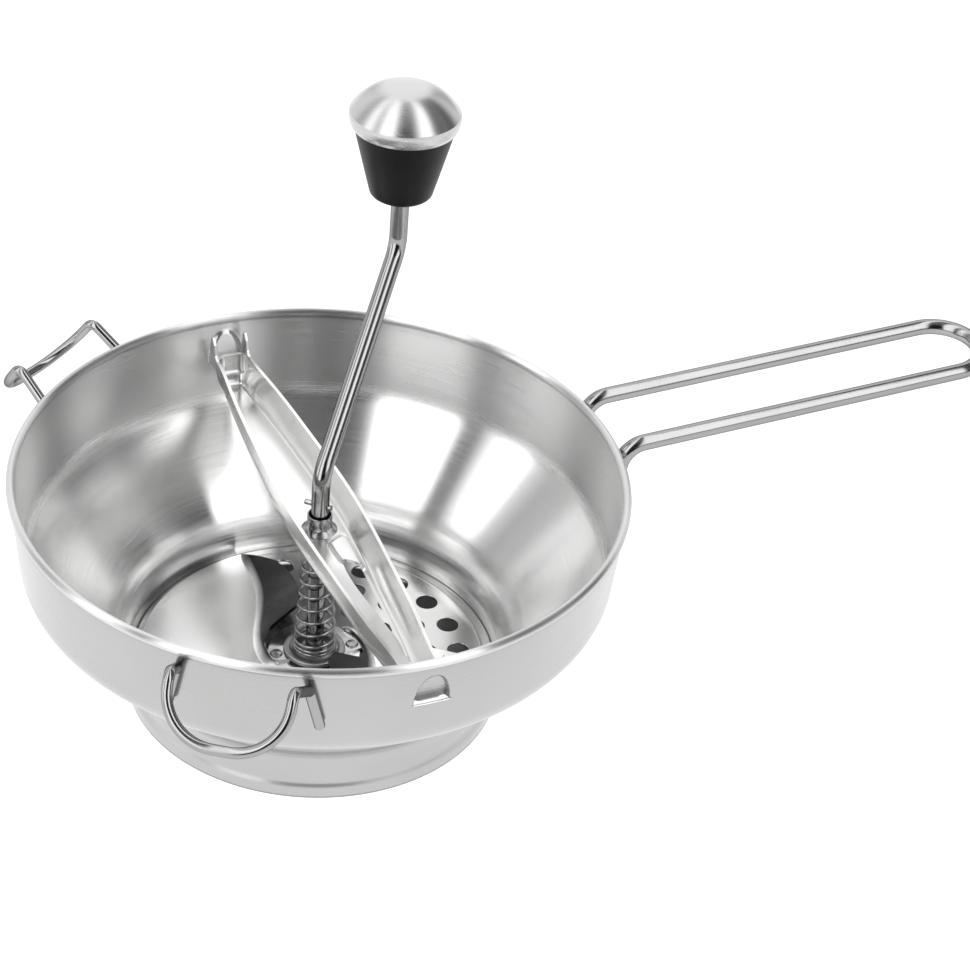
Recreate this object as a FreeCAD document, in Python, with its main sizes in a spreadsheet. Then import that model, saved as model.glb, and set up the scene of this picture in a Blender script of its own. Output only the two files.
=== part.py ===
import FreeCAD, Part
import math
import os
import Sketcher
from FreeCAD import Placement, Rotation, Vector

# Hand-cranked food mill (tomato strainer).  Millimetres; origin on the bowl axis at the foot's
# lower edge, +Z up, long handle along +X, bridge along Y.

os.makedirs("parts", exist_ok=True)
doc = FreeCAD.newDocument("food_mill")

# ------------------------------------------------------------------ driving sizes
SIZES = [
    # bowl
    ("wall", 0.8), ("rim_radius", 108.1), ("rim_height", 89.7), ("bead_radius", 1.6),
    ("band_step", 0.5), ("band_taper", 2.8), ("shoulder_height", 55.8),
    ("shoulder_round", 11), ("throat_radius", 68), ("throat_height", 29.4), ("throat_round", 30),
    ("ledge_height", 6.4), ("ledge_reach", 3.4), ("ledge_half", 1.2), ("groove_depth", 2.3),
    ("groove_lead", 0.5), ("groove_run", 2.4), ("foot_step", 0.6),
    ("lug_radius", 6.9), ("lug_depth", 4.6), ("lug_lip", 72.0), ("lug_rise", 11.5),
    # handle and hooks
    ("handle_wire", 6), ("handle_length", 161.9), ("handle_gap", 32), ("handle_height", 90.2),
    ("handle_slope", 2.4), ("handle_bend", 9.5), ("handle_leg_foot", 68.5),
    ("hook_wire", 3.7), ("hook_angle", 123.5), ("hook_root_gap", 44), ("hook_loop_gap", 40.3),
    ("hook_leg_foot", 68.7), ("hook_leg_top", 83.6), ("hook_throw", 14), ("hook_crest", 94.2),
    ("hook_depth", 22), ("hook_droop", 54), ("hook_corner", 3), ("hook_loop_bend", 17.5),
    ("weld_bite", 0.2),
    # sieve disc
    ("sieve_gap", 0.5), ("sieve_sheet", 0.8), ("crown_inset", 4.2), ("sieve_step", 0.5),
    ("hole_radius", 4.1), ("hole_phase", 0.9), ("hole_ring_out", 53.8), ("hole_ring_mid", 41.6),
    ("hole_ring_in", 29.6), ("hole_ring_core", 17.8),
    # bridge
    ("bridge_inset", 9.9), ("bridge_centre_half", 13.2), ("bridge_belly", 35), ("bridge_belly_half", 11.8),
    ("bridge_end_half", 6.9), ("bridge_top", 78.8), ("bridge_depth", 10.6), ("bridge_sheet", 1.2),
    ("bridge_corner", 3), ("bridge_round", 4.2), ("tongue_length", 4.8), ("tongue_half", 4.5),
    ("ear_length", 5.9), ("ear_top", 86.6), ("ear_foot", 5),
    ("panel_start", 12.5), ("panel_right", 9.4), ("panel_margin", 8.2),
    ("panel_rise", 0.8),
    ("slot_start", 23), ("slot_margin", 14.2), ("slot_width", 5.8),
    # shaft, collar and spring
    ("rod_radius", 3.25), ("rod_gap", 0.08), ("collar_radius", 4.9), ("collar_top", 76),
    ("collar_flare", 1.6), ("collar_flange", 7.6), ("collar_flange_sheet", 1), ("rod_foot", 4.9),
    ("rod_lower_bend", 84.5),
    ("rod_bend", 12), ("throw", 66), ("rod_upper_bend", 153.6), ("spindle_length", 44.4),
    ("crank_angle", 47.5), ("pin_radius", 1.1), ("pin_length", 10.8), ("pin_height", 78.2),
    ("washer_radius", 6.6), ("washer_sheet", 1),
    ("spring_wire", 1.1), ("spring_foot_radius", 7.5), ("spring_head_radius", 4.75),
    ("spring_turns", 9),
    # blade set
    ("blade_sheet", 1.2), ("blade_gap", 0.4), ("blade_margin", 2.7), ("blade_core", 15.5),
    ("blade_turn", -6.8), ("fold_offset", 14.6), ("heel_inset", 4.7), ("nose_angle", 35),
    ("hub_radius", 9.5), ("hub_rise", 1.6), ("rivet_radius", 2.4),
    ("rivet_ring", 14.3), ("rivet_rise", 0.9), ("seat_radius", 11.4), ("seat_sheet", 0.9),
    ("seat_rim", 2.3), ("nut_radius", 5.2), ("nut_rise", 4.2),
    # knob
    ("head_clearance", 0.1), ("knob_foot_radius", 11.3), ("knob_waist_radius", 13.2),
    ("knob_head_radius", 18), ("knob_rise", 28), ("knob_cap_radius", 19.8), ("cap_band", 4.7),
    ("cap_dome", 9.1), ("cap_lip", 0.7), ("cap_sheet", 0.8), ("knob_bore_gap", 0.08),
    ("knob_washer_radius", 6.2),
    ("knob_washer_sheet", 1.2),
]
# free outlines of the blade, as corners (across, along) measured from the shaft and from the fold
WING_ROOT = [(-21.8, 0), (-20, -5.5), (-8, -9), (0, 0), (-8, 9), (-18.5, 6), (-20.7, 11.6), (-17.5, 23)]
NOSE_EDGE = [(4, 58.3), (7.6, 53), (10.8, 47), (13.4, 40), (15.6, 32.5), (17, 25), (16.6, 18.5),
             (13.4, 14.6), (7, 16), (3, 20), (0, 27)]
sheet = doc.addObject("Spreadsheet::Sheet", "Sizes")
for row, (name, value) in enumerate(SIZES, start=1):
    sheet.set("A%d" % row, name)
    sheet.set("B%d" % row, repr(value))
    sheet.setAlias("B%d" % row, name)
doc.recompute()


class Size:
    """A length or angle: its value now, and the sheet expression that drives it."""

    def __init__(self, value, text):
        self.value, self.text = float(value), text

    @staticmethod
    def of(other):
        return other if isinstance(other, Size) else Size(other, repr(float(other)))

    def _join(self, other, sign, value):
        return Size(value, "(%s %s %s)" % (self.text, sign, other.text))

    def __add__(self, other):
        other = Size.of(other)
        return self._join(other, "+", self.value + other.value)

    def __sub__(self, other):
        other = Size.of(other)
        return self._join(other, "-", self.value - other.value)

    def __mul__(self, other):
        other = Size.of(other)
        return self._join(other, "*", self.value * other.value)

    def __truediv__(self, other):
        other = Size.of(other)
        return self._join(other, "/", self.value / other.value)

    def __radd__(self, other):
        return Size.of(other) + self

    def __rsub__(self, other):
        return Size.of(other) - self

    def __rmul__(self, other):
        return Size.of(other) * self

    def __neg__(self):
        return Size(-self.value, "(-1 * %s)" % self.text)


class Sheet:
    """Attribute access to the driving sizes."""

    def __getattr__(self, name):
        return Size(sheet.get(name), "Sizes." + name)


s = Sheet()

# heights of mating faces, each built from the sizes above
sieve_top = s.ledge_height + s.ledge_half + s.sieve_step + s.sieve_sheet
blade_under = sieve_top + s.blade_gap
blade_top = blade_under + s.blade_sheet
hub_top = blade_top + s.hub_rise
bridge_under = s.bridge_top - s.bridge_depth
bridge_floor = bridge_under + s.bridge_sheet
rod_bore = s.rod_radius + s.rod_gap
rod_head = s.rod_upper_bend + s.spindle_length
knob_top = rod_head + s.head_clearance
knob_foot = knob_top - s.knob_rise
# radii and reaches that follow the rim, so that the pieces keep meeting when it changes
band_top_radius = s.rim_radius + s.band_step
shoulder_radius = band_top_radius - s.band_taper
bridge_half = s.rim_radius - s.bridge_inset
tongue_reach = bridge_half + s.tongue_length
ear_reach = bridge_half + s.ear_length
slot_end = bridge_half - s.slot_margin
handle_reach = s.rim_radius + s.handle_length
hook_reach = s.rim_radius + s.hook_throw
# radii that follow the throat, from the bowl's foot in to the blade
foot_radius = s.throat_radius + s.foot_step
sieve_radius = s.throat_radius - s.wall - s.sieve_gap
sieve_crown = sieve_radius - s.crown_inset
blade_radius = sieve_radius - s.blade_margin
heel_offset = blade_radius - s.heel_inset
panel_end = bridge_half - s.panel_margin


# ------------------------------------------------------------------ helpers
def bind(obj, prop, size):
    """Drive one property from the sheet."""
    size = Size.of(size)
    setattr(obj, prop, size.value)
    if "Sizes." in size.text:
        obj.setExpression(prop, size.text)


def place(obj, x=0, y=0, z=0, turn=0):
    """Placement of a sub-part: shift, and turn about Z, driven from the sheet."""
    x, y, z, turn = Size.of(x), Size.of(y), Size.of(z), Size.of(turn)
    obj.Placement = Placement(Vector(x.value, y.value, z.value), Rotation(Vector(0, 0, 1), turn.value))
    for path, size in (("Placement.Base.x", x), ("Placement.Base.y", y), ("Placement.Base.z", z),
                       ("Placement.Rotation.Angle", turn)):
        if "Sizes." in size.text:
            obj.setExpression(path, size.text)


def new_body(label):
    """A PartDesign body whose label is the name of its file."""
    body = doc.addObject("PartDesign::Body", label)
    body.Label = label
    return body


def new_sketch(body, label, role="XY_Plane", lift=0, turn=None):
    """A sketch on one of the body's own origin planes, lifted along the plane's normal."""
    sk = body.newObject("Sketcher::SketchObject", label)
    plane = [f for f in body.Origin.OriginFeatures if f.Role == role][0]
    sk.AttachmentSupport = [(plane, "")]
    sk.MapMode = "FlatFace"
    lift = Size.of(lift)
    sk.AttachmentOffset = Placement(Vector(0, 0, lift.value), turn or Rotation())
    if "Sizes." in lift.text:
        sk.setExpression("AttachmentOffset.Base.z", lift.text)
    return sk


def pin_point(sk, geo, pos, x, y=None):
    """Fix one sketch point by sheet-driven distances from the origin; y may be left free."""
    for kind, axis, size in (("DistanceX", -2, x), ("DistanceY", -1, y)):
        if size is None:
            continue
        size = Size.of(size)
        if abs(size.value) < 1e-9:
            sk.addConstraint(Sketcher.Constraint("PointOnObject", geo, pos, axis))
            continue
        index = sk.addConstraint(Sketcher.Constraint(kind, -1, 1, geo, pos, size.value))
        if "Sizes." in size.text:
            sk.setExpression("Constraints[%d]" % index, size.text)


def polygon(sk, points):
    """Closed outline through the given points, every corner driven from the sheet."""
    corners = [Vector(Size.of(x).value, Size.of(y).value, 0) for x, y in points]
    count, first = len(corners), sk.GeometryCount
    for i in range(count):
        sk.addGeometry(Part.LineSegment(corners[i], corners[(i + 1) % count]), False)
    for i in range(count):
        sk.addConstraint(Sketcher.Constraint("Coincident", first + i, 2, first + (i + 1) % count, 1))
    for i, (x, y) in enumerate(points):
        pin_point(sk, first + i, 1, x, y)


def circle(sk, x, y, radius):
    """Circle with a driven centre and radius."""
    x, y, radius = Size.of(x), Size.of(y), Size.of(radius)
    geo = sk.addGeometry(Part.Circle(Vector(x.value, y.value, 0), Vector(0, 0, 1), radius.value), False)
    if abs(x.value) < 1e-9 and abs(y.value) < 1e-9:
        sk.addConstraint(Sketcher.Constraint("Coincident", geo, 3, -1, 1))
    else:
        pin_point(sk, geo, 3, x, y)
    index = sk.addConstraint(Sketcher.Constraint("Radius", geo, radius.value))
    if "Sizes." in radius.text:
        sk.setExpression("Constraints[%d]" % index, radius.text)


def revolve(body, label, points, cut=False):
    """Turn an outline drawn in the XZ plane about the Z axis."""
    sk = new_sketch(body, label + "_sketch", "XZ_Plane")
    polygon(sk, points)
    kind = "PartDesign::Groove" if cut else "PartDesign::Revolution"
    feature = body.newObject(kind, label)
    feature.Profile = sk
    feature.ReferenceAxis = (sk, ["V_Axis"])
    feature.Angle = 360
    sk.Visibility = False
    return feature


def pad(body, sk, label, height):
    """Raise a sketch along its plane's normal."""
    feature = body.newObject("PartDesign::Pad", label)
    feature.Profile = sk
    bind(feature, "Length", height)
    return feature


def pocket(body, sk, label, depth):
    """Cut a sketch downwards from its plane."""
    feature = body.newObject("PartDesign::Pocket", label)
    feature.Profile = sk
    bind(feature, "Length", depth)
    return feature


def rounds(body, base, label, edges, radius):
    """Fillet the named edges of the base feature."""
    feature = body.newObject("PartDesign::Fillet", label)
    feature.Base = (base, edges)
    bind(feature, "Radius", radius)
    return feature


def ring_edges(feature, *rings):
    """Names of the circular edges about Z nearest each (radius, height)."""
    doc.recompute()
    names = []
    for radius, height in rings:
        radius, height = Size.of(radius).value, Size.of(height).value
        for i, edge in enumerate(feature.Shape.Edges, start=1):
            curve = edge.Curve
            if isinstance(curve, Part.Circle) and abs(curve.Radius - radius) < 0.02 \
                    and abs(curve.Center.z - height) < 0.02 and "Edge%d" % i not in names:
                names.append("Edge%d" % i)
    return names


def bent_wire(corners, radii):
    """Polyline through 3-D corners with every inner corner replaced by a tangent arc."""
    edges, last = [], corners[0]
    for before, corner, after, radius in zip(corners, corners[1:], corners[2:], radii):
        to_before = (before - corner).normalize()
        to_after = (after - corner).normalize()
        half = to_before.getAngle(to_after) / 2
        tangent = radius / math.tan(half)
        start, end = corner + to_before * tangent, corner + to_after * tangent
        bisector = (to_before + to_after).normalize()
        middle = corner + bisector * (radius / math.sin(half) - radius)
        if (start - last).Length > 1e-6:
            edges.append(Part.makeLine(last, start))
        edges.append(Part.Arc(start, middle, end).toShape())
        last = end
    edges.append(Part.makeLine(last, corners[-1]))
    return Part.Wire(edges)


def rod_along(path, radius):
    """Round rod swept along a wire that starts along its first edge."""
    start, following = [vertex.Point for vertex in path.OrderedVertexes[:2]]
    section = Part.Wire(Part.makeCircle(radius, start, following - start))
    return path.makePipeShell([section], True, True)


def wire_feature(label, shape):
    """A formed-wire sub-part: bends leave the plane, so no single sketch can carry it."""
    feature = doc.addObject("Part::Feature", label)
    feature.Label = label
    feature.Shape = shape
    return feature


parts = []

# ------------------------------------------------------------------ bowl
bowl = new_body("bowl")
parts.append(bowl)
band_top = s.rim_height - s.bead_radius / 2
ledge_in = foot_radius - s.wall - s.ledge_reach
throat_in = s.throat_radius - s.wall
shoulder_in = shoulder_radius - s.wall
shoulder_in_height = s.shoulder_height + s.wall * 0.4
foot_in = foot_radius - s.wall
ledge_top = s.ledge_height + s.ledge_half
shell = revolve(bowl, "shell", [
    (band_top_radius, band_top), (shoulder_radius, s.shoulder_height),
    (s.throat_radius, s.throat_height), (s.throat_radius, ledge_top - s.groove_lead),
    (foot_radius - s.groove_depth, s.ledge_height), (foot_radius, s.ledge_height - s.groove_run),
    (foot_radius, 0), (foot_in, 0), (foot_in, s.ledge_height - s.groove_run - 1),
    (ledge_in, ledge_top - s.wall * 1.4), (ledge_in, ledge_top),
    (throat_in, ledge_top), (throat_in, s.throat_height),
    (shoulder_in, shoulder_in_height), (band_top_radius - s.wall, band_top),
])
bead_sk = new_sketch(bowl, "bead_sketch", "XZ_Plane")
circle(bead_sk, s.rim_radius, s.rim_height, s.bead_radius)
bead = bowl.newObject("PartDesign::Revolution", "bead")
bead.Profile = bead_sk
bead.ReferenceAxis = (bead_sk, ["V_Axis"])
bead.Angle = 360
throat = rounds(bowl, bead, "throat_rounds", ring_edges(
    bead, (s.throat_radius, s.throat_height), (throat_in, s.throat_height)), s.throat_round)
shoulder = rounds(bowl, throat, "shoulder_rounds", ring_edges(
    throat, (shoulder_radius, s.shoulder_height), (shoulder_in, shoulder_in_height)), s.shoulder_round)
lug_back = band_top_radius - s.wall * 2
for side, turn in ((1, 180), (-1, 0)):
    for kind, skin, sweep in (("Additive", s.wall * 0, 180), ("Subtractive", s.wall, 360)):
        dome = bowl.newObject("PartDesign::%sEllipsoid" % kind, "lug_" + kind.lower())
        bind(dome, "Radius1", s.lug_rise - skin)
        bind(dome, "Radius2", s.lug_radius - skin)
        bind(dome, "Radius3", s.lug_depth - skin)
        dome.Angle1, dome.Angle2, dome.Angle3 = 0, 90, sweep
        place(dome, 0, side * lug_back, s.lug_lip, turn)

# ------------------------------------------------------------------ handle and hooks
wall_lean = (band_top_radius - shoulder_radius).value / (band_top - s.shoulder_height).value


def leg_point(half_gap, wire, height):
    """Centre of a wire leg welded on the bowl's upper band, half_gap to one side."""
    wall_radius = shoulder_radius.value + wall_lean * (height.value - s.shoulder_height.value)
    reach = wall_radius + wire.value / 2 - s.weld_bite.value
    return Vector(math.sqrt(reach ** 2 - half_gap ** 2), half_gap, height.value)


def looped(points, radii):
    """Wire through the given half and its mirror image across the XZ plane."""
    far_half = [Vector(p.x, -p.y, p.z) for p in reversed(points)]
    return bent_wire(points + far_half, radii + radii[::-1])


half = s.handle_gap.value / 2
head = leg_point(half, s.handle_wire, s.handle_height)
tip_x = (handle_reach - s.handle_wire / 2).value
tip_z = head.z + math.tan(math.radians(s.handle_slope.value)) * (tip_x - head.x)
handle_path = looped([leg_point(half, s.handle_wire, s.handle_leg_foot), head, Vector(tip_x, half, tip_z)],
                     [s.handle_bend.value, half - 0.02])
parts.append(wire_feature("handle", rod_along(handle_path, s.handle_wire.value / 2)))

droop = math.radians(s.hook_droop.value)
root = s.hook_root_gap.value / 2
crest = Vector(hook_reach.value, s.hook_loop_gap.value / 2, s.hook_crest.value)
low = crest + Vector(math.cos(droop), 0, -math.sin(droop)) * s.hook_depth.value
hook_path = looped([leg_point(root, s.hook_wire, s.hook_leg_foot),
                    leg_point(root, s.hook_wire, s.hook_leg_top), crest, low],
                   [s.hook_corner.value, s.hook_corner.value, s.hook_loop_bend.value])
for label, sign in (("hook_left", 1), ("hook_right", -1)):
    hook = wire_feature(label, rod_along(hook_path, s.hook_wire.value / 2))
    place(hook, turn=sign * s.hook_angle)
    parts.append(hook)

# ------------------------------------------------------------------ sieve disc
sieve = new_body("sieve_disc")
parts.append(sieve)
rim_top = sieve_top - s.sieve_step
pilot = s.nut_radius + s.rod_gap
revolve(sieve, "disc", [
    (pilot, sieve_top), (pilot, sieve_top - s.sieve_sheet),
    (sieve_crown, sieve_top - s.sieve_sheet), (sieve_crown + 1, rim_top - s.sieve_sheet),
    (sieve_radius, rim_top - s.sieve_sheet), (sieve_radius, rim_top),
    (sieve_crown + 2, rim_top), (sieve_crown + 1, sieve_top),
])
holes_sk = new_sketch(sieve, "holes_sketch", "XY_Plane", sieve_top)
for ring, count, lead in ((s.hole_ring_out, 22, 0), (s.hole_ring_mid, 17, 5), (s.hole_ring_in, 12, 11),
                          (s.hole_ring_core, 7, 23)):
    for k in range(count):
        angle = math.radians(s.hole_phase.value + lead + 360.0 * k / count)
        circle(holes_sk, ring * math.cos(angle), ring * math.sin(angle), s.hole_radius)
pocket(sieve, holes_sk, "holes", s.sieve_sheet * 2)

# ------------------------------------------------------------------ bridge
bridge = new_body("bridge")
parts.append(bridge)
plan = new_sketch(bridge, "plan", "XY_Plane", bridge_under)
bulge = s.bridge_centre_half - s.bridge_belly_half
belly_arc = (bulge * bulge + s.bridge_belly * s.bridge_belly) / (bulge * 2)
quarter = [(s.bridge_end_half, bridge_half), (s.bridge_belly_half, s.bridge_belly)]
outline = ([quarter[0]] + [(-x, y) for x, y in quarter] + [(-x, -y) for x, y in reversed(quarter)]
           + [(x, -y) for x, y in quarter] + [quarter[1]])
corners = [Vector(x.value, y.value, 0) for x, y in outline]
for i, (a, b) in enumerate(zip(corners, corners[1:] + corners[:1])):
    crown = Vector(math.copysign(s.bridge_centre_half.value, a.x), 0, 0)
    plan.addGeometry(Part.Arc(a, crown, b) if i in (2, 6) else Part.LineSegment(a, b), False)
for i, (x, y) in enumerate(outline):
    plan.addConstraint(Sketcher.Constraint("Coincident", (i - 1) % len(outline), 2, i, 1))
    pin_point(plan, i, 1, x, y)
for i in (2, 6):
    index = plan.addConstraint(Sketcher.Constraint("Radius", i, belly_arc.value))
    plan.setExpression("Constraints[%d]" % index, belly_arc.text)
block = pad(bridge, plan, "block", s.bridge_depth)
doc.recompute()


def long_edges(feature, upright, low):
    """Edges of the trough block: the upright corners, or the bottom outline."""
    names = []
    for i, edge in enumerate(feature.Shape.Edges, start=1):
        box = edge.BoundBox
        standing = box.ZLength > s.bridge_depth.value / 2 and abs(box.Center.y) > s.bridge_belly.value + 1
        lying = box.ZMax < low + 0.01
        if (upright and standing) or (not upright and lying):
            names.append("Edge%d" % i)
    return names


ends = rounds(bridge, block, "end_rounds", long_edges(block, True, 0), s.bridge_corner)
doc.recompute()
belly = rounds(bridge, ends, "belly_rounds", long_edges(ends, False, bridge_under.value), s.bridge_round)
doc.recompute()
top_face = max(range(len(belly.Shape.Faces)), key=lambda k: belly.Shape.Faces[k].CenterOfMass.z)
hollow = bridge.newObject("PartDesign::Thickness", "hollow")
hollow.Base = (belly, ["Face%d" % (top_face + 1)])
bind(hollow, "Value", s.bridge_sheet)
hollow.Reversed = True
hollow.Mode, hollow.Join = 0, 0
panel_sk = new_sketch(bridge, "panel_sketch", "XY_Plane", bridge_floor - s.bridge_sheet / 4)
polygon(panel_sk, [(0, -s.panel_start - 1.2), (s.panel_right, -s.panel_start + 3),
                   (s.bridge_belly_half - s.bridge_round + 1.3, -s.bridge_belly),
                   (s.bridge_end_half - 1.7, -panel_end), (2.4, -panel_end), (-0.4, -s.bridge_belly)])
pad(bridge, panel_sk, "panel", s.panel_rise + s.bridge_sheet / 4)
tongue_sk = new_sketch(bridge, "tongue_sketch", "XY_Plane", s.lug_lip - s.bridge_sheet - 0.02)
for side in (1, -1):
    root_y, reach_y = side * (bridge_half - s.bridge_sheet), side * tongue_reach
    polygon(tongue_sk, [(-s.tongue_half, root_y), (s.tongue_half, root_y),
                        (s.tongue_half, reach_y), (-s.tongue_half, reach_y)])
pad(bridge, tongue_sk, "tongues", s.bridge_sheet)
for lift in (s.bridge_end_half - s.bridge_sheet, -s.bridge_end_half):
    ears_sk = new_sketch(bridge, "ears_sketch", "YZ_Plane", lift)
    for y in (1, -1):
        reach, inner = y * ear_reach, y * bridge_half
        polygon(ears_sk, [(inner - y * 3, s.bridge_top - s.ear_foot),
                          (reach - y, s.bridge_top - s.ear_foot - 0.6),
                          (reach, s.bridge_top + 1.4), (reach - y * 1.2, s.ear_top - 1.2),
                          (reach - y * 2.8, s.ear_top), (reach - y * 4.8, s.ear_top - 2.6),
                          (inner - y * 0.4, s.bridge_top + 0.6), (inner - y * 3, s.bridge_top - 0.2)])
    pad(bridge, ears_sk, "ears", s.bridge_sheet)
cuts_sk = new_sketch(bridge, "cuts_sketch", "XY_Plane", s.bridge_top)
circle(cuts_sk, 0, 0, s.collar_radius)
slot_y = slot_end - s.slot_start
polygon(cuts_sk, [(1, -s.slot_start), (-0.9, -s.slot_start - slot_y * 0.04),
                  (-0.7, -s.slot_start - slot_y * 0.3), (1.9, -slot_end),
                  (s.slot_width * 0.75, -slot_end + slot_y * 0.36),
                  (s.slot_width, -s.slot_start - slot_y * 0.36), (s.slot_width, -s.slot_start - slot_y * 0.2),
                  (s.slot_width * 0.7, -s.slot_start - slot_y * 0.07)])
pocket(bridge, cuts_sk, "cuts", s.bridge_depth * 2)

# ------------------------------------------------------------------ turned and pressed round pieces
collar_foot = bridge_under - s.collar_flange_sheet


def turned(label, outline, turn=0):
    """A round sub-part made in one revolution."""
    piece = new_body(label)
    revolve(piece, label + "_form", outline)
    place(piece, turn=turn)
    parts.append(piece)
    return piece


turned("bridge_collar", [
    (rod_bore, collar_foot), (s.collar_flange, collar_foot), (s.collar_flange, bridge_under),
    (s.collar_radius, bridge_under), (s.collar_radius, bridge_floor + s.rod_gap),
    (s.collar_radius + s.collar_flare, bridge_floor + s.rod_gap),
    (s.collar_radius + s.collar_flare * 0.4, bridge_floor + s.collar_flare * 0.6),
    (s.collar_radius, bridge_floor + s.collar_flare * 1.6), (s.collar_radius, s.collar_top - 0.6),
    (s.collar_radius - 0.6, s.collar_top), (rod_bore + 0.4, s.collar_top), (rod_bore, s.collar_top - 0.6),
])
washer_foot = collar_foot - s.washer_sheet
turned("spring_top_washer", [
    (rod_bore, washer_foot), (s.washer_radius, washer_foot), (s.washer_radius, collar_foot),
    (rod_bore, collar_foot),
])
seat_top = hub_top + s.seat_sheet
turned("spring_seat", [
    (rod_bore, hub_top), (s.seat_radius - s.seat_sheet, hub_top),
    (s.seat_radius - s.seat_sheet, seat_top - s.seat_rim + 1), (s.seat_radius, seat_top - s.seat_rim + 1),
    (s.seat_radius, seat_top - 0.4), (s.seat_radius - 0.4, seat_top), (rod_bore, seat_top),
])
pilot_foot = blade_under - s.nut_rise
turned("pilot_nut", [
    (s.rod_radius, pilot_foot), (s.nut_radius - 0.8, pilot_foot), (s.nut_radius, pilot_foot + 0.8),
    (s.nut_radius, blade_under), (s.rod_radius, blade_under),
], s.crank_angle)

# ------------------------------------------------------------------ spring
spring = new_body("spring")
parts.append(spring)
coil_foot, coil_head = seat_top + s.spring_wire / 2, washer_foot - s.spring_wire / 2
coil_sk = new_sketch(spring, "wire_section", "XZ_Plane")
circle(coil_sk, s.spring_foot_radius, coil_foot, s.spring_wire / 2)
coil = spring.newObject("PartDesign::AdditiveHelix", "coil")
coil.Profile = coil_sk
coil.ReferenceAxis = (coil_sk, ["V_Axis"])
coil.Mode = 2
bind(coil, "Height", coil_head - coil_foot)
bind(coil, "Turns", s.spring_turns)
taper = math.atan((s.spring_head_radius - s.spring_foot_radius).value / (coil_head - coil_foot).value)
coil.Angle = math.degrees(taper)

# ------------------------------------------------------------------ crank rod and its stop pin
crank = new_body("crank_rod")
parts.append(crank)
path_sk = new_sketch(crank, "rod_path", "XZ_Plane")
run_x = s.throw.value
bends = []
for x, z, sign in ((0, s.rod_lower_bend.value, 1), (run_x, s.rod_upper_bend.value, -1)):
    bends.append(Vector(x + sign * s.rod_bend.value, z, 0))
gap = bends[1] - bends[0]
lean = math.atan2(gap.y, gap.x) - math.asin(2 * s.rod_bend.value / gap.Length)
toward = Vector(math.cos(lean), math.sin(lean), 0)
normal = Vector(-toward.y, toward.x, 0)
join_low = bends[0] + normal * s.rod_bend.value
join_high = bends[1] - normal * s.rod_bend.value
start_low, start_high = Vector(0, bends[0].y, 0), Vector(run_x, bends[1].y, 0)
mid_low = bends[0] + (normal + Vector(-1, 0, 0)).normalize() * s.rod_bend.value
mid_high = bends[1] + (Vector(1, 0, 0) - normal).normalize() * s.rod_bend.value
path = [Part.LineSegment(Vector(0, s.rod_foot.value, 0), start_low), Part.Arc(start_low, mid_low, join_low),
        Part.LineSegment(join_low, join_high), Part.Arc(join_high, mid_high, start_high),
        Part.LineSegment(start_high, Vector(run_x, (rod_head - 1).value, 0))]
path_sk.addGeometry(path, False)
# Sketcher keeps arcs anticlockwise: the lower bend runs end to start, the upper one start to end
for a, a_end, b, b_end in ((0, 2, 1, 2), (1, 1, 2, 1), (2, 2, 3, 1), (3, 2, 4, 1)):
    path_sk.addConstraint(Sketcher.Constraint("Tangent", a, a_end, b, b_end))
pin_point(path_sk, 0, 1, 0, s.rod_foot)
pin_point(path_sk, 1, 2, 0, s.rod_lower_bend)
pin_point(path_sk, 3, 2, s.throw, s.rod_upper_bend)
pin_point(path_sk, 4, 2, s.throw, rod_head - 1)
for geo in (1, 3):
    index = path_sk.addConstraint(Sketcher.Constraint("Radius", geo, s.rod_bend.value))
    path_sk.setExpression("Constraints[%d]" % index, s.rod_bend.text)
section_sk = new_sketch(crank, "rod_section", "XY_Plane", s.rod_foot)
circle(section_sk, 0, 0, s.rod_radius)
rod = crank.newObject("PartDesign::AdditivePipe", "rod")
rod.Profile = section_sk
rod.Spine = (path_sk, [])
head_sk = new_sketch(crank, "head_sketch", "XY_Plane", rod_head - 1)
circle(head_sk, s.throw, 0, s.rod_radius + 1)
pad(crank, head_sk, "riveted_head", 1)
pin_hole = crank.newObject("PartDesign::SubtractiveCylinder", "pin_hole")
bind(pin_hole, "Radius", s.pin_radius)
bind(pin_hole, "Height", s.pin_length)
half_pin = s.pin_length / 2
pin_hole.Placement = Placement(Vector(0, half_pin.value, s.pin_height.value), Rotation(Vector(1, 0, 0), 90))
place(crank, turn=s.crank_angle)

pin = doc.addObject("Part::Cylinder", "stop_pin")
pin.Label = "stop_pin"
bind(pin, "Radius", s.pin_radius)
bind(pin, "Height", s.pin_length)
turn_out = Rotation(Vector(0, 0, 1), s.crank_angle.value) * Rotation(Vector(1, 0, 0), 90)
offset = turn_out.multVec(Vector(0, 0, -half_pin.value))
pin.Placement = Placement(offset + Vector(0, 0, s.pin_height.value), turn_out)
parts.append(pin)

# ------------------------------------------------------------------ blade, hub plate and rivets
blade = new_body("blade")
parts.append(blade)
fold, heel_x = -s.fold_offset, -heel_offset
wing_tip = math.sqrt(blade_radius.value ** 2 - fold.value ** 2)
wing_sk = new_sketch(blade, "wing_sketch", "XY_Plane", blade_under)
heel_y = math.sqrt(blade_radius.value ** 2 - heel_x.value ** 2)
wing = [(fold, wing_tip), (heel_x, heel_y)] + WING_ROOT + [(fold, 34.7)]
spots = [Vector(Size.of(x).value, Size.of(y).value, 0) for x, y in wing]
for i, (a, b) in enumerate(zip(spots, spots[1:] + spots[:1])):
    crown = (a + b).normalize() * blade_radius.value
    wing_sk.addGeometry(Part.Arc(a, crown, b) if i == 0 else Part.LineSegment(a, b), False)
for i, (x, y) in enumerate(wing):
    wing_sk.addConstraint(Sketcher.Constraint("Coincident", (i - 1) % len(wing), 2, i, 1))
    pin_point(wing_sk, i, 1, x, y if i > 1 else None)
index = wing_sk.addConstraint(Sketcher.Constraint("Radius", 0, blade_radius.value))
wing_sk.setExpression("Constraints[%d]" % index, blade_radius.text)
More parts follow.
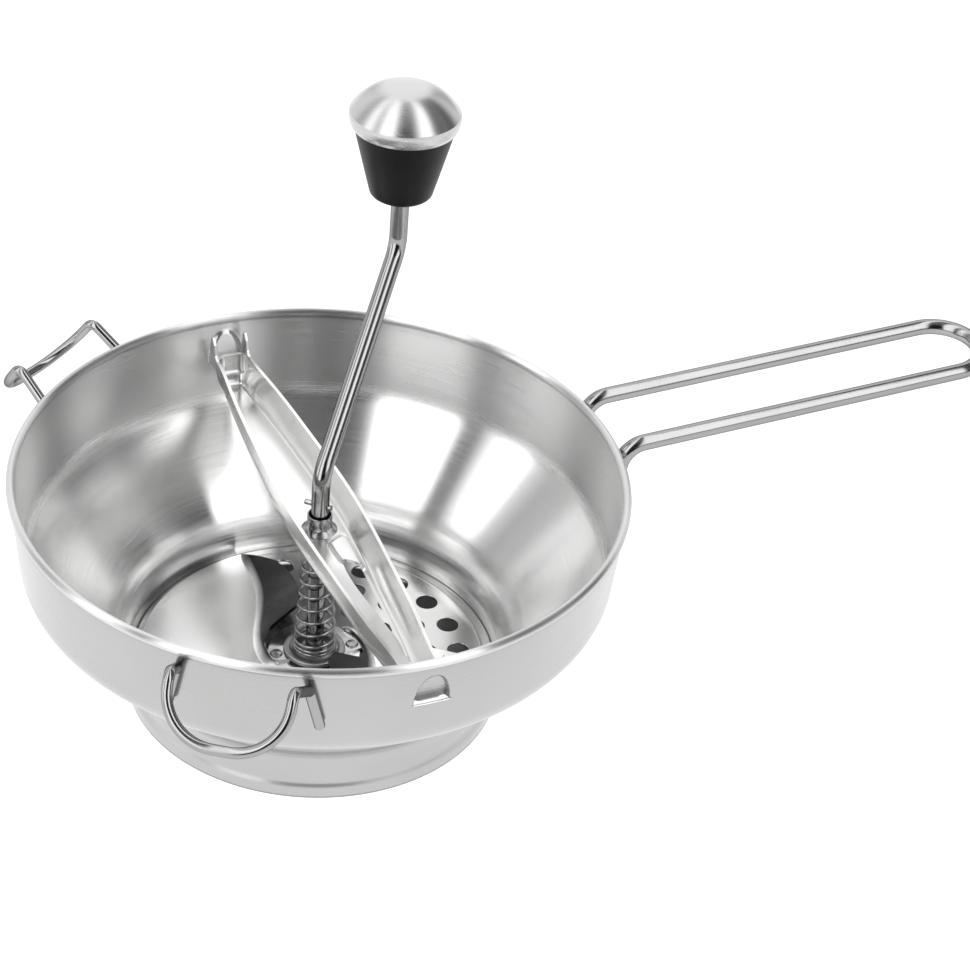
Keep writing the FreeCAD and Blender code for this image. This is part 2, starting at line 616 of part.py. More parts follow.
wing_sk.addConstraint(Sketcher.Constraint("Coincident", 0, 3, -1, 1))
flat = pad(blade, wing_sk, "wing", s.blade_sheet)
nose_sk = new_sketch(blade, "nose_sketch", "XY_Plane")
nose_sk.AttachmentOffset = Placement(Vector(fold.value, 0, blade_under.value),
                                     Rotation(Vector(0, 1, 0), -s.nose_angle.value))
nose_sk.setExpression("AttachmentOffset.Base.z", blade_under.text)
polygon(nose_sk, [(0, wing_tip - 0.6)] + NOSE_EDGE)
nose = pad(blade, nose_sk, "nose", s.blade_sheet)
wings = blade.newObject("PartDesign::PolarPattern", "wings")
wings.Originals = [flat, nose]
wings.Axis = (wing_sk, ["N_Axis"])
wings.Angle = 360
wings.Occurrences = 2
blade.Tip = wings
core_sk = new_sketch(blade, "core_sketch", "XY_Plane", blade_under)
circle(core_sk, 0, 0, s.blade_core)
pad(blade, core_sk, "core", s.blade_sheet)
bore_sk = new_sketch(blade, "bore_sketch", "XY_Plane", blade_top)
circle(bore_sk, 0, 0, s.rod_radius)
for side in (1, -1):
    circle(bore_sk, side * s.rivet_ring, 0, s.rivet_radius - 1)
pocket(blade, bore_sk, "bores", s.blade_sheet * 2)
place(blade, turn=s.blade_turn)

hub = new_body("blade_hub")
parts.append(hub)
plate_sk = new_sketch(hub, "plate_sketch", "XY_Plane", blade_top)
ear = s.rivet_radius + 1.6
span = s.rivet_ring + s.rivet_radius + 1.2
polygon(plate_sk, [(-span, -ear * 0.6), (-s.rivet_ring, -ear), (s.rivet_ring, -ear), (span, -ear * 0.6),
                   (span, ear * 0.6), (s.rivet_ring, ear), (-s.rivet_ring, ear), (-span, ear * 0.6)])
pad(hub, plate_sk, "plate", s.seat_sheet)
boss_sk = new_sketch(hub, "boss_sketch", "XY_Plane", blade_top)
circle(boss_sk, 0, 0, s.hub_radius)
pad(hub, boss_sk, "boss", s.hub_rise)
hub_bore_sk = new_sketch(hub, "hub_bore_sketch", "XY_Plane", hub_top)
circle(hub_bore_sk, 0, 0, s.rod_radius)
for side in (1, -1):
    circle(hub_bore_sk, side * s.rivet_ring, 0, s.rivet_radius - 1)
pocket(hub, hub_bore_sk, "hub_bores", s.hub_rise * 2)
place(hub, turn=s.blade_turn)

for label, side in (("blade_rivet_a", 1), ("blade_rivet_b", -1)):
    rivet = new_body(label)
    shank, plate_top = s.rivet_radius - 1, blade_top + s.seat_sheet
    revolve(rivet, "form", [(0, blade_under), (shank, blade_under), (shank, plate_top),
                            (s.rivet_radius, plate_top),
                            (s.rivet_radius * 0.8, plate_top + s.rivet_rise * 0.7),
                            (0, plate_top + s.rivet_rise)])
    angle = math.radians(s.blade_turn.value)
    place(rivet, side * s.rivet_ring * math.cos(angle), side * s.rivet_ring * math.sin(angle), 0)
    parts.append(rivet)

# ------------------------------------------------------------------ knob
turn = math.radians(s.crank_angle.value)
knob_x, knob_y = s.throw * math.cos(turn), s.throw * math.sin(turn)
knob_bore = s.rod_radius + s.knob_bore_gap
pocket_floor = knob_top - s.knob_washer_sheet - 1.1


def dome_line(radius, foot, rise):
    """Corners of a dome from its edge to the axis: it falls as the cube of the distance from the axis."""
    shares = (1, 0.95, 0.88, 0.78, 0.65, 0.5, 0.32, 0.14, 0)
    return [(radius * share, foot + rise * (1 - share ** 3)) for share in shares]


cap_inner_radius, cap_inner_foot = s.knob_cap_radius - s.cap_sheet - 0.8, knob_top + s.cap_band - s.cap_sheet
KNOB_PIECES = {
    "knob_ferrule": [
        (s.rod_radius, knob_foot - 1.6), (s.rod_radius + 2.2, knob_foot - 1.2),
        (s.rod_radius + 2.2, knob_foot - 0.05), (s.rod_radius, knob_foot - 0.05)],
    "knob_grip": [
        (knob_bore, knob_foot), (s.knob_foot_radius - 2.4, knob_foot),
        (s.knob_foot_radius - 0.7, knob_foot + 0.8), (s.knob_foot_radius, knob_foot + 2.6),
        (s.knob_waist_radius, knob_foot + s.knob_rise * 0.3),
        (s.knob_waist_radius + 2.3, knob_foot + s.knob_rise * 0.62),
        (s.knob_head_radius - 0.7, knob_foot + s.knob_rise * 0.9), (s.knob_head_radius, knob_top - 0.8),
        (s.knob_head_radius, knob_top), (s.knob_washer_radius + 0.2, knob_top),
        (s.knob_washer_radius + 0.2, pocket_floor), (knob_bore, pocket_floor)],
    "knob_washer": [
        (s.rod_radius, pocket_floor + 0.05), (s.knob_washer_radius, pocket_floor + 0.05),
        (s.knob_washer_radius, rod_head - 1), (s.rod_radius, rod_head - 1)],
    "knob_cap": [
        (s.knob_head_radius, knob_top - s.cap_lip), (s.knob_head_radius + s.cap_lip, knob_top - s.cap_lip),
        (s.knob_cap_radius - 0.4, knob_top + 0.8), (s.knob_cap_radius, knob_top + s.cap_band - 1.3),
        *dome_line(s.knob_cap_radius - 0.3, knob_top + s.cap_band, s.cap_dome),
        *dome_line(cap_inner_radius, cap_inner_foot, s.cap_dome)[::-1],
        (s.knob_head_radius - s.cap_sheet, knob_top), (s.knob_head_radius, knob_top)],
}
for label, outline in KNOB_PIECES.items():
    piece = new_body(label)
    revolve(piece, label + "_form", outline)
    place(piece, knob_x, knob_y)
    parts.append(piece)

# ------------------------------------------------------------------ checks and files
doc.recompute()
for obj in doc.Objects:
    if "Invalid" in obj.State or "Error" in obj.State:
        raise RuntimeError("%s did not build: %s" % (obj.Label, obj.State))
for piece in parts:
    if piece.Shape.isNull() or not piece.Shape.isValid():
        raise RuntimeError("%s has no valid shape" % piece.Label)
    piece.Shape.exportStep("parts/%s.step" % piece.Label)
    box = piece.Shape.BoundBox
    print("%-18s solids %d volume %9.1f  x %7.1f %7.1f  y %7.1f %7.1f  z %6.1f %6.1f" % (
        piece.Label, len(piece.Shape.Solids), piece.Shape.Volume,
        box.XMin, box.XMax, box.YMin, box.YMax, box.ZMin, box.ZMax))
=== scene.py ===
"""Dresses a packed hand-cranked food mill with worked-out surfaces, metal finishes, a stage and a camera."""

import math

import bmesh
import bpy
import numpy as np
from mathutils import Matrix, Vector


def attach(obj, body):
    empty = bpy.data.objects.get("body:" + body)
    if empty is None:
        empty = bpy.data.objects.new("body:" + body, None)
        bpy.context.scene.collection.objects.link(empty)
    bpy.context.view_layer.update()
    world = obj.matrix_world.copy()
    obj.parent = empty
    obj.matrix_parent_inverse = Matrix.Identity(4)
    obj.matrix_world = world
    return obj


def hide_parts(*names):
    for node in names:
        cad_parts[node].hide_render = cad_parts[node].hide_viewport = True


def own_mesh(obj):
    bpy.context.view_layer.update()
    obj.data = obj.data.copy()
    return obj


bl_info = {
    "name": "Food Mill Dressing",
    "version": (1, 0, 0),
    "blender": (4, 5, 0),
    "location": "View3D > Sidebar > Food Mill",
    "description": "Builds the visible pieces of a hand-cranked food mill round its packed model",
    "category": "Object",
}

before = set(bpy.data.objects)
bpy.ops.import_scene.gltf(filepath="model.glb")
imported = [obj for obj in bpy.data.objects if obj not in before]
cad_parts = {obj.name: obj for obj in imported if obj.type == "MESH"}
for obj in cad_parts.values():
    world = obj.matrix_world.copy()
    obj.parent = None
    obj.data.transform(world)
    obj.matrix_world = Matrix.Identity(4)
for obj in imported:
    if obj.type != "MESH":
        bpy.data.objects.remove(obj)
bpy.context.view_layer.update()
MM = 0.001


# ---------------- settings
def length(name, millimetres, description):
    """A length setting, given in millimetres and kept in metres."""
    return bpy.props.FloatProperty(name=name, description=description, default=millimetres * MM, min=0.0,
                                   unit="LENGTH", precision=5)


def angle(name, degrees, description):
    """An angle setting, given in degrees and kept in radians."""
    return bpy.props.FloatProperty(name=name, description=description, default=math.radians(degrees),
                                   subtype="ANGLE")


def number(name, value, description, low=0.0, high=100.0):
    """A plain number setting."""
    return bpy.props.FloatProperty(name=name, description=description, default=value, min=low, max=high)


def colour(name, value, description):
    """A colour setting."""
    return bpy.props.FloatVectorProperty(name=name, description=description, default=value, size=3,
                                         subtype="COLOR", min=0.0, max=1.0)


class BowlSettings(bpy.types.PropertyGroup):
    """Sizes of the pressed bowl and the sieve disc on its ledge."""

    wall: length("Wall", 0.8, "Thickness of the bowl's sheet")
    rim_radius: length("Rim radius", 108.1, "Radius of the rolled rim's centre line")
    rim_height: length("Rim height", 89.7, "Height of the rolled rim's centre line")
    rim_roll: length("Rim roll", 1.15, "Radius of the roll, to the middle of the sheet")
    shoulder_radius: length("Shoulder radius", 105.4, "Radius where the cone meets the upper band")
    shoulder_height: length("Shoulder height", 55.9, "Height where the cone meets the upper band")
    throat_radius: length("Throat radius", 67.6, "Radius of the throat below the cone")
    throat_height: length("Throat height", 20.5, "Height where the throat meets the cone")
    ledge_height: length("Ledge height", 7.2, "Height of the ledge's sheet under the sieve disc")
    foot_radius: length("Foot radius", 68.2, "Radius of the foot ring, to the middle of the sheet")
    lug_half: length("Lug half width", 6.9, "Half the width of the lug pressed in under the rim")
    lug_depth: length("Lug depth", 2.9, "How far the lug stands into the bowl")
    lug_lip: length("Lug lip height", 72.0, "Height of the lug's open lower edge")
    lug_rise: length("Lug rise", 13.6, "Height of the lug above its lip")
    hole_radius: length("Hole radius", 4.1, "Radius of the sieve's holes")


class WireSettings(bpy.types.PropertyGroup):
    """Sizes of the formed-wire handle and pot hooks."""

    handle_wire: length("Handle wire", 6.0, "Diameter of the handle's wire")
    handle_gap: length("Handle gap", 32.0, "Distance between the handle's two bars")
    handle_reach: length("Handle reach", 270.0, "Outer end of the handle, from the bowl's axis")
    handle_height: length("Handle height", 90.2, "Height of the bars where they leave the bowl")
    handle_slope: angle("Handle slope", 2.4, "How steeply the bars rise outwards")
    hook_wire: length("Hook wire", 3.7, "Diameter of the hooks' wire")
    hook_turn: angle("Hook turn", 123.5, "Angle from the handle to each hook")
    hook_depth: length("Hook depth", 22.0, "Length of the hook's hanging loop")
    hook_droop: angle("Hook droop", 54.0, "How steeply the loop hangs")


class BridgeSettings(bpy.types.PropertyGroup):
    """Sizes of the trough-shaped bridge and the collar that guides the crank."""

    half_length: length("Half length", 99.8, "Half the length of the trough")
    top: length("Top", 78.8, "Height of the trough's upper edges")
    floor: length("Floor", 66.2, "Height of the trough's floor, to the middle of the sheet")
    sheet: length("Sheet", 1.2, "Thickness of the bridge's sheet")
    corner: length("Corner", 4.1, "Rounding of the trough's ends, seen from above")
    belly: length("Belly", 8.5, "Height of the rounding where the walls meet the floor")
    belly_reach: length("Belly reach", 3.3, "Width of that rounding, seen from above")
    panel_rise: length("Panel rise", 1.1, "Height of the raised panel in the floor")
    collar_radius: length("Collar radius", 4.5, "Outer radius of the collar")
    collar_top: length("Collar top", 73.3, "Height of the collar's mouth")


class CrankSettings(bpy.types.PropertyGroup):
    """Sizes of the bent crank rod, its spring and its knob."""

    rod_radius: length("Rod radius", 3.25, "Radius of the crank rod")
    crank_angle: angle("Crank angle", 47.5, "Angle of the crank's arm from the handle")
    lower_bend: length("Lower bend", 84.5, "Height where the shaft starts to bend")
    bend: length("Bend", 12.0, "Radius of the rod's bends")
    throw: length("Throw", 66.0, "Distance of the knob from the shaft")
    upper_bend: length("Upper bend", 153.6, "Height where the arm has become the knob's spindle")
    spring_wire: length("Spring wire", 1.1, "Diameter of the spring's wire")
    spring_foot: length("Spring foot", 7.6, "Radius of the spring's lowest coil")
    spring_head: length("Spring head", 4.75, "Radius of the spring's highest coil")
    knob_foot: length("Knob foot", 170.1, "Height of the knob's lower end")
    knob_rise: length("Knob rise", 28.0, "Height of the knob's grip")
    cap_radius: length("Cap radius", 19.8, "Radius of the knob's cap")


class BladeSettings(bpy.types.PropertyGroup):
    """Sizes of the pressed blade."""

    sheet: length("Sheet", 1.2, "Thickness of the blade's sheet")
    under: length("Underside", 9.3, "Height of the blade's underside")
    radius: length("Radius", 64.0, "Outer radius of the blade")
    nose_angle: angle("Nose angle", 35.0, "How steeply the nose is bent up")
    fold_radius: length("Fold radius", 1.6, "Radius of the bend along the nose's fold")


class FinishSettings(bpy.types.PropertyGroup):
    """Colours and roughness of the finishes."""

    # painted light and shade: the bowl's inside is given a much lighter copy of the steel and its outside a
    # much darker one; the two sides also differ in real brushing, but the gap in colour stands in for how
    # light falls on each side
    steel: colour("Steel", (0.81, 0.81, 0.807), "Colour of the brushed steel inside the bowl")
    outer_steel: colour("Outer steel", (0.44, 0.44, 0.438), "Colour of the satin steel outside the bowl")
    bright: colour("Bright steel", (0.62, 0.62, 0.616), "Colour of the pale sheet of sieve and bridge")
    wire: colour("Wire", (0.36, 0.36, 0.358), "Colour of the polished wire and rod")
    blade: colour("Blade", (0.92, 0.92, 0.917), "Colour of the blade's sheet")
    knob: colour("Knob", (0.007, 0.007, 0.0075), "Colour of the knob's plastic")
    inside_rough: number("Inside roughness", 0.17, "Roughness of the brushed cone inside", 0.0, 1.0)
    band_rough: number("Band roughness", 0.31, "Roughness of the brushed band under the rim", 0.0, 1.0)
    outside_rough: number("Outside roughness", 0.26, "Roughness of the satin outside", 0.0, 1.0)
    sheet_rough: number("Sheet roughness", 0.12, "Roughness of the satin sheet parts", 0.0, 1.0)
    wire_rough: number("Wire roughness", 0.13, "Roughness of the polished wire", 0.0, 1.0)


class StageSettings(bpy.types.PropertyGroup):
    """The camera's place and the stage's brightness."""

    eye: bpy.props.FloatVectorProperty(name="Eye", description="Where the camera stands", size=3,
                                       default=(-0.2837, -0.7201, 0.6442), unit="LENGTH")
    heading: angle("Heading", 64.23, "Compass angle of the view, from +X towards +Y")
    pitch: angle("Pitch", 35.59, "How far the camera looks down")
    roll: angle("Roll", 4.96, "How far the camera leans")
    lens: number("Lens", 100.1, "Focal length for a 36 mm wide image", 10.0, 400.0)
    floor_level: number("Floor level", 1.0, "Brightness of the floor")
    studio_level: number("Studio level", 1.0, "Brightness of the studio round the object")
    middle_level: number("Middle level", 1.35, "Brightness of the card that flat metal mirrors")
    dark_side: number("Dark side", 1.0, "How dark the low gaps in the studio are", 0.0, 1.0)


class Sizes:
    """The numbers of a settings group, its lengths turned into millimetres."""

    def __init__(self, group):
        for name in type(group).__annotations__:
            in_metres = group.bl_rna.properties[name].unit == "LENGTH"
            setattr(self, name, getattr(group, name) / (MM if in_metres else 1.0))


# ---------------- surfaces
def unit(vectors):
    """Each vector divided by its own length."""
    return vectors / np.maximum(np.linalg.norm(vectors, axis=-1, keepdims=True), 1e-12)


def rounded(corners, radii, fine=9.0):
    """Polyline with arcs for corners: the arc starts and ends at radius over tan(half the corner's angle)
    from the corner, and its points blend the two end radii by the sine rule for equal steps of angle."""
    corners = np.asarray(corners, float)
    out = [corners[:1]]
    for before, corner, after, radius in zip(corners, corners[1:], corners[2:], radii):
        a, b = unit(before - corner), unit(after - corner)
        half = math.acos(float(np.clip(a @ b, -1, 1))) / 2
        if radius <= 0 or half > 1.55:
            out.append(corner[None])
            continue
        sweep, reach = math.pi - 2 * half, radius / math.tan(half)
        centre = corner + unit(a + b) * radius / math.sin(half)
        start, end = (corner + a * reach - centre), (corner + b * reach - centre)
        t = np.linspace(0, 1, max(4, int(math.degrees(sweep) / fine) + 2))[:, None]
        out.append(centre + (np.sin((1 - t) * sweep) * start + np.sin(t * sweep) * end) / math.sin(sweep))
    out.append(corners[-1:])
    return np.concatenate(out)


def resample(line, stops, wanted):
    """The line's points worked out again at other stops along it."""
    return np.stack([np.interp(wanted, stops, line[:, k]) for k in range(line.shape[1])], axis=1)


def run_length(line):
    """Distance along a line at each of its points."""
    return np.concatenate([[0], np.cumsum(np.linalg.norm(np.diff(line, axis=0), axis=1))])


def spaced(path, step):
    """The same line with points added so that none are further apart than step; its own points stay."""
    along = run_length(path)
    keep = np.concatenate([[True], np.diff(along) > 1e-7])
    path, along = path[keep], along[keep]
    stops = np.union1d(along, np.linspace(0, along[-1], max(2, int(along[-1] / step) + 1)))
    last = stops[-1]
    stops = stops[np.concatenate([[True], np.diff(stops) > step * 0.02])]
    own = np.isin(stops, along)
    near = np.minimum(np.diff(stops, prepend=-1e9), np.diff(stops, append=1e9)) < step * 0.4
    stops = stops[own | ~near | (stops == last)]
    return resample(path, along, stops)


def points(*parts):
    """Coordinates side by side, each stretched to the shape that all of them share."""
    return np.stack(np.broadcast_arrays(*parts), axis=-1)


def ring(turns, radius=1.0):
    """Flat points (radius cos t, radius sin t) for each angle t."""
    return points(radius * np.cos(turns), radius * np.sin(turns))


def turned_grid(profile, turns, centre=(0.0, 0.0)):
    """Surface of revolution: point (radius cos t, radius sin t, height) for each profile point and each
    angle t."""
    radius, height = np.asarray(profile, float).T
    x, y = centre[0] + radius[:, None] * np.cos(turns), centre[1] + radius[:, None] * np.sin(turns)
    return points(x, y, height[:, None])


def full_turn(count):
    """Angles of a full circle, the last one left out."""
    return np.arange(count) * 2 * math.pi / count


def tube_grid(path, radius, sides, reference):
    """Tube round a path: at each point, radius times (cos t side + sin t up), where side is the path's
    direction crossed with a fixed reference and up is the direction crossed with side."""
    direction = unit(np.gradient(path, axis=0))
    side = unit(np.cross(direction, np.asarray(reference, float)))
    up = np.cross(direction, side)
    t = full_turn(sides)[None, :, None]
    return path[:, None, :] + radius * (np.cos(t) * side[:, None, :] + np.sin(t) * up[:, None, :])


def blunt_tube(path, radius, sides, reference, blunt):
    """Tube whose ends close to a point over a rounded edge: the radius falls as a quarter circle of the blunt
    size over the last stretch, then straight to the middle."""
    t = np.linspace(math.pi / 2, 0, 5)
    setback = blunt * (1 - np.sin(t))
    shares = np.concatenate([[0], radius - blunt * (1 - np.cos(t))]) / radius
    grid = tube_grid(path, radius, sides, reference)
    caps = []
    for end, inner in ((0, 1), (-1, -2)):
        tip = path[end]
        line = np.concatenate([tip[None], tip + setback[:, None] * unit(path[inner] - tip)])
        caps.append(line[:, None, :] + (grid[end] - tip)[None] * shares[:, None, None])
    return np.concatenate([caps[0], grid[1:-1], caps[1][::-1]])


def lattice(rows, cols, wrap_rows=False, wrap_cols=False, keep=None):
    """Corner numbers of the faces between the rows and columns of a grid."""
    r, c = np.meshgrid(np.arange(rows if wrap_rows else rows - 1), np.arange(cols if wrap_cols else cols - 1),
                       indexing="ij")
    if keep is not None:
        r, c = r[keep], c[keep]
    r2, c2 = (r + 1) % rows, (c + 1) % cols
    return np.stack([r * cols + c, r2 * cols + c, r2 * cols + c2, r * cols + c2], axis=-1).reshape(-1, 4)


def closed_sheet(grid, facing, wall):
    """A grid given a thickness: both skins lie half the wall from it, along the directions it faces, and are
    joined round all four edges. Returns the list of grids that make the closed shape."""
    upper, lower = grid + facing * wall / 2, grid - facing * wall / 2
    ends = [(np.stack([upper[:, k], lower[:, k]]), False, False) for k in (0, -1)]
    return [(np.concatenate([upper, lower[::-1]]), True, False)] + ends


def spun(shape, turn):
    """A shape's points turned about the Z axis."""
    c, s = math.cos(turn), math.sin(turn)
    return shape @ np.array([[c, s, 0], [-s, c, 0], [0, 0, 1]])


def mirrored(line):
    """The line followed by its mirror image across the XZ plane in reverse order."""
    return np.concatenate([line, (np.asarray(line) * [1, -1, 1])[::-1]])


# ---------------- pieces
def clean(mesh, weld, face_out=True):
    """Welds points that meet, drops what has no face and turns the faces outwards."""
    work = bmesh.new()
    work.from_mesh(mesh)
    bmesh.ops.remove_doubles(work, verts=work.verts, dist=weld)
    bmesh.ops.dissolve_degenerate(work, edges=work.edges, dist=1e-8)
    bmesh.ops.delete(work, geom=[v for v in work.verts if not v.link_faces], context="VERTS")
    if face_out:
        bmesh.ops.recalc_face_normals(work, faces=work.faces)
    work.to_mesh(mesh)
    work.free()


def place(name, mesh, finishes, body, slot, *stands_for):
    obj = bpy.data.objects.new(name, mesh)
    bpy.context.scene.collection.objects.link(obj)
    mesh.materials.clear()
    for finish in finishes.split():
        mesh.materials.append(FINISHES[finish])
    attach(obj, body)
    if stands_for:
        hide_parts(*stands_for)
    return obj


def put_piece(name, grids, *about, face_out=True):
    """A mesh object made of grids in millimetres. Each grid is (points, wrap_rows, wrap_cols) or also a
    mask of the faces to keep. Points that meet are welded, so seams and poles are closed. About it come its
    finishes, its body, its slot, which is not used, and the nodes that it stands for."""
    corners, faces, start = [], [], 0
    for grid, wrap_rows, wrap_cols, *keep in grids:
        rows, cols = grid.shape[:2]
        corners.append(grid.reshape(-1, 3) * MM)
        faces.append(lattice(rows, cols, wrap_rows, wrap_cols, *keep) + start)
        start += rows * cols
    mesh = bpy.data.meshes.new(name)
    mesh.from_pydata(np.concatenate(corners), [], np.concatenate(faces))
    clean(mesh, 2e-7, face_out)
    mesh.polygons.foreach_set("use_smooth", np.ones(len(mesh.polygons), bool))
    return place(name, mesh, *about)


def turned_piece(name, outline, radii, *about, segments=96, centre=(0.0, 0.0), step=1.5):
    """A round piece: a closed outline of radius and height, its corners rounded, turned about Z."""
    outline = np.asarray(outline, float)
    line = rounded(np.concatenate([outline[-1:], outline, outline[:1]]), radii, 18.0)[1:-1]
    line = spaced(np.concatenate([line, line[:1]]), step)[:-1]
    grid = turned_grid(line, full_turn(segments), centre)
    return put_piece(name, [(grid, True, True)], *about)


def wire_piece(name, path, radius, sides, reference, blunt, *about):
    """A piece of round wire or rod along a path, blunt at both ends."""
    return put_piece(name, [(blunt_tube(path, radius, sides, reference, blunt), False, True)], *about)


def flat_piece(name, outlines, thickness, edge, height, *about):
    """A flat plate with holes: closed outlines filled as one flat curve, given depth and a rounded edge, then
    turned into a mesh with its place applied. All sizes in millimetres."""
    data = bpy.data.curves.new(name, "CURVE")
    data.dimensions, data.fill_mode = "2D", "BOTH"
    data.extrude, data.bevel_depth, data.bevel_resolution = (thickness / 2 - edge) * MM, edge * MM, 1
    data.offset = -edge * MM
    for x, y in (outline.T * MM for outline in outlines):
        spline = data.splines.new("POLY")
        spline.points.add(len(x) - 1)
        spline.points.foreach_set("co", points(x, y, 0.0, 1.0).ravel())
        spline.use_cyclic_u = True
    holder = bpy.data.objects.new(name + "_outline", data)
    bpy.context.scene.collection.objects.link(holder)
    bpy.context.view_layer.update()
    mesh = bpy.data.meshes.new_from_object(holder.evaluated_get(bpy.context.evaluated_depsgraph_get()))
    bpy.data.objects.remove(holder)
    mesh.name = name
    mesh.transform(Matrix.Translation((0, 0, height * MM)))
    clean(mesh, 1e-6)
    return place(name, mesh, *about)


def soften(obj, edge, sharp):
    """Rounds the piece's edges that turn by more than an angle in degrees."""
    bevel = obj.modifiers.new("Edges", "BEVEL")
    bevel.width, bevel.segments, bevel.limit_method = edge * MM, 2, "ANGLE"
    bevel.angle_limit, bevel.harden_normals = math.radians(sharp), True


def thicken(obj, wall, edge=0.0, inner_finish=0):
    """Gives an open sheet its thickness, half to each side, and rounds its cut edges."""
    solid = obj.modifiers.new("Sheet", "SOLIDIFY")
    solid.thickness, solid.offset = wall * MM, 0.0
    solid.material_offset = inner_finish
    if edge:
        soften(obj, edge, 55)


# ---------------- finishes
FINISHES = {}


class Nodes:
    """A node tree under construction, with short calls for its nodes."""

    def __init__(self, tree):
        self.tree = tree

    def node(self, kind, **values):
        """A new node with some of its settings."""
        node = self.tree.nodes.new(kind)
        for key, value in values.items():
            setattr(node, key, value)
        return node

    def feed(self, value, socket):
        """Links a socket to another node's output, or sets its value."""
        if isinstance(value, bpy.types.NodeSocket):
            self.tree.links.new(value, socket)
        else:
            socket.default_value = value

    def made(self, kind, *values, **settings):
        """The outputs of a new node whose first inputs are fed in order."""
        node = self.node(kind, **settings)
        for socket, value in zip(node.inputs, values):
            self.feed(value, socket)
        return node.outputs

    def maths(self, operation, *values):
        """The result of a sum on one to three values."""
        return self.made("ShaderNodeMath", *values, operation=operation)[0]

    def plane(self, x, y, along_x, along_y):
        """x along_x + y along_y, the flat product of two directions."""
        return self.maths("ADD", self.maths("MULTIPLY", x, along_x), self.maths("MULTIPLY", y, along_y))

    def reach(self, x, y):
        """Length of the flat direction (x, y)."""
        return self.maths("SQRT", self.plane(x, y, x, y))

    def vector(self, x, y, z):
        return self.made("ShaderNodeCombineXYZ", x, y, z)[0]

    def split(self, vector):
        return self.made("ShaderNodeSeparateXYZ", vector)

    def spread(self, value, low, high, new_low=0.0, new_high=1.0, **settings):
        """The value between low and high, moved to between two new values."""
        return self.made("ShaderNodeMapRange", value, low, high, new_low, new_high, **settings)[0]


class Recipe(Nodes):
    """A material under construction, kept among the finishes under its name."""

    def __init__(self, name):
        material = FINISHES[name] = bpy.data.materials.new(name)
        material.use_nodes = True
        super().__init__(material.node_tree)
        self.shader = self.tree.nodes["Principled BSDF"]
        self.spot = self.node("ShaderNodeTexCoord").outputs["Object"]
        self.height = self.split(self.spot)[2]

    def set(self, **values):
        """Feeds the shader's inputs, given with underscores for the spaces in their names."""
        for key, value in values.items():
            self.feed(value, self.shader.inputs[key.replace("_", " ")])

    def noise(self, vector, scale, detail=2.0, rough=0.5):
        """Soft random values between 0 and 1, smaller the larger the scale."""
        node = self.node("ShaderNodeTexNoise")
        for key, value in (("Vector", vector), ("Scale", scale), ("Detail", detail), ("Roughness", rough)):
            self.feed(value, node.inputs[key])
        return node.outputs["Fac"]

    def blend(self, amount, first, second):
        """The first colour turning into the second as the amount goes from 0 to 1."""
        node = self.node("ShaderNodeMix", data_type="RGBA")
        self.feed(amount, node.inputs["Factor"])
        for key, item in (("A", first), ("B", second)):
            socket = [s for s in node.inputs if s.name == key and s.type == "RGBA"][0]
            self.feed((*item, 1.0), socket)
        return [s for s in node.outputs if s.type == "RGBA"][0]

    def bump(self, height, distance):
        """Tilts the surface as if the height stood out by the distance, in metres."""
        node = self.node("ShaderNodeBump")
        node.inputs["Distance"].default_value = distance
        self.feed(height, node.inputs["Height"])
        self.set(Normal=node.outputs[0])

    def round_place(self, swing, climb):
        """Coordinates that run slowly round the Z axis and quickly along the radius and height."""
        x, y, z = self.split(self.spot)
        radius = self.maths("MAXIMUM", self.reach(x, y), 1e-4)
        return self.vector(self.maths("MULTIPLY", self.maths("DIVIDE", x, radius), swing),
                           self.maths("MULTIPLY", self.maths("DIVIDE", y, radius), swing),
                           self.maths("MULTIPLY", self.maths("ADD", z, radius), climb))


def shaded(tint, share):
    """The tint made lighter or darker by a share."""
    return tuple(c * share for c in tint)


def metal(recipe, tint, shade, rough, cloud_scale, paint=None):
    """Common to the metals: roughness drifts between two values in soft clouds, and so does the colour
    where no paint is given."""
    cloud = recipe.noise(recipe.spot, cloud_scale, 3.0)
    if paint is None:
        paint = recipe.blend(recipe.spread(cloud, 0.3, 0.7), tint, shaded(tint, shade))
    recipe.set(Metallic=1.0, Base_Color=paint)
    return recipe.spread(cloud, 0.3, 0.7, *rough)


# heights in metres over which the cone's finish turns into the band's
BAND_FOOT = (0.050, 0.062)


def brushed_round(name, tint, rough, grain, climb, lean, band_rough=None, body=1.0, streak=1.0, roll=None):
    """Steel brushed round the Z axis: fine lines follow the circle, and gloss spreads across them by the
    lean. The band under the rim may have a roughness of its own, and the steel above the height roll is
    painted darker: painted shade that tones down the bright reflection on the rolled rim."""
    recipe = Recipe(name)
    paint = None
    # painted shade: above the roll height the rolled rim is painted darker, to tone down its bright
    # reflection
    if roll:
        painted_rim_shade = recipe.spread(recipe.height, roll - 0.0012, roll)
        paint = recipe.blend(painted_rim_shade, tint, shaded(tint, 0.85))
    base = metal(recipe, tint, 0.94, (rough * 0.9, rough * 1.1), 18.0, paint)
    if band_rough:
        base = recipe.maths("ADD", base, recipe.spread(recipe.height, *BAND_FOOT, 0.0, band_rough - rough))
    lines = recipe.noise(recipe.round_place(2.5, climb), 1.0, 3.0, 0.6)
    x, y, _ = recipe.split(recipe.spot)
    round_axis = recipe.vector(recipe.maths("MULTIPLY", y, -1.0), x, 0.0)
    normal = recipe.node("ShaderNodeNewGeometry").outputs["Normal"]
    tangent = recipe.made("ShaderNodeVectorMath", round_axis, normal, operation="CROSS_PRODUCT")[0]
    streaks = recipe.spread(lines, 0.35, 0.7, -0.03 * streak, 0.06 * streak)
    recipe.set(Roughness=recipe.maths("ADD", base, streaks), Anisotropic=lean, Metallic=body, Tangent=tangent)
    recipe.bump(lines, grain)


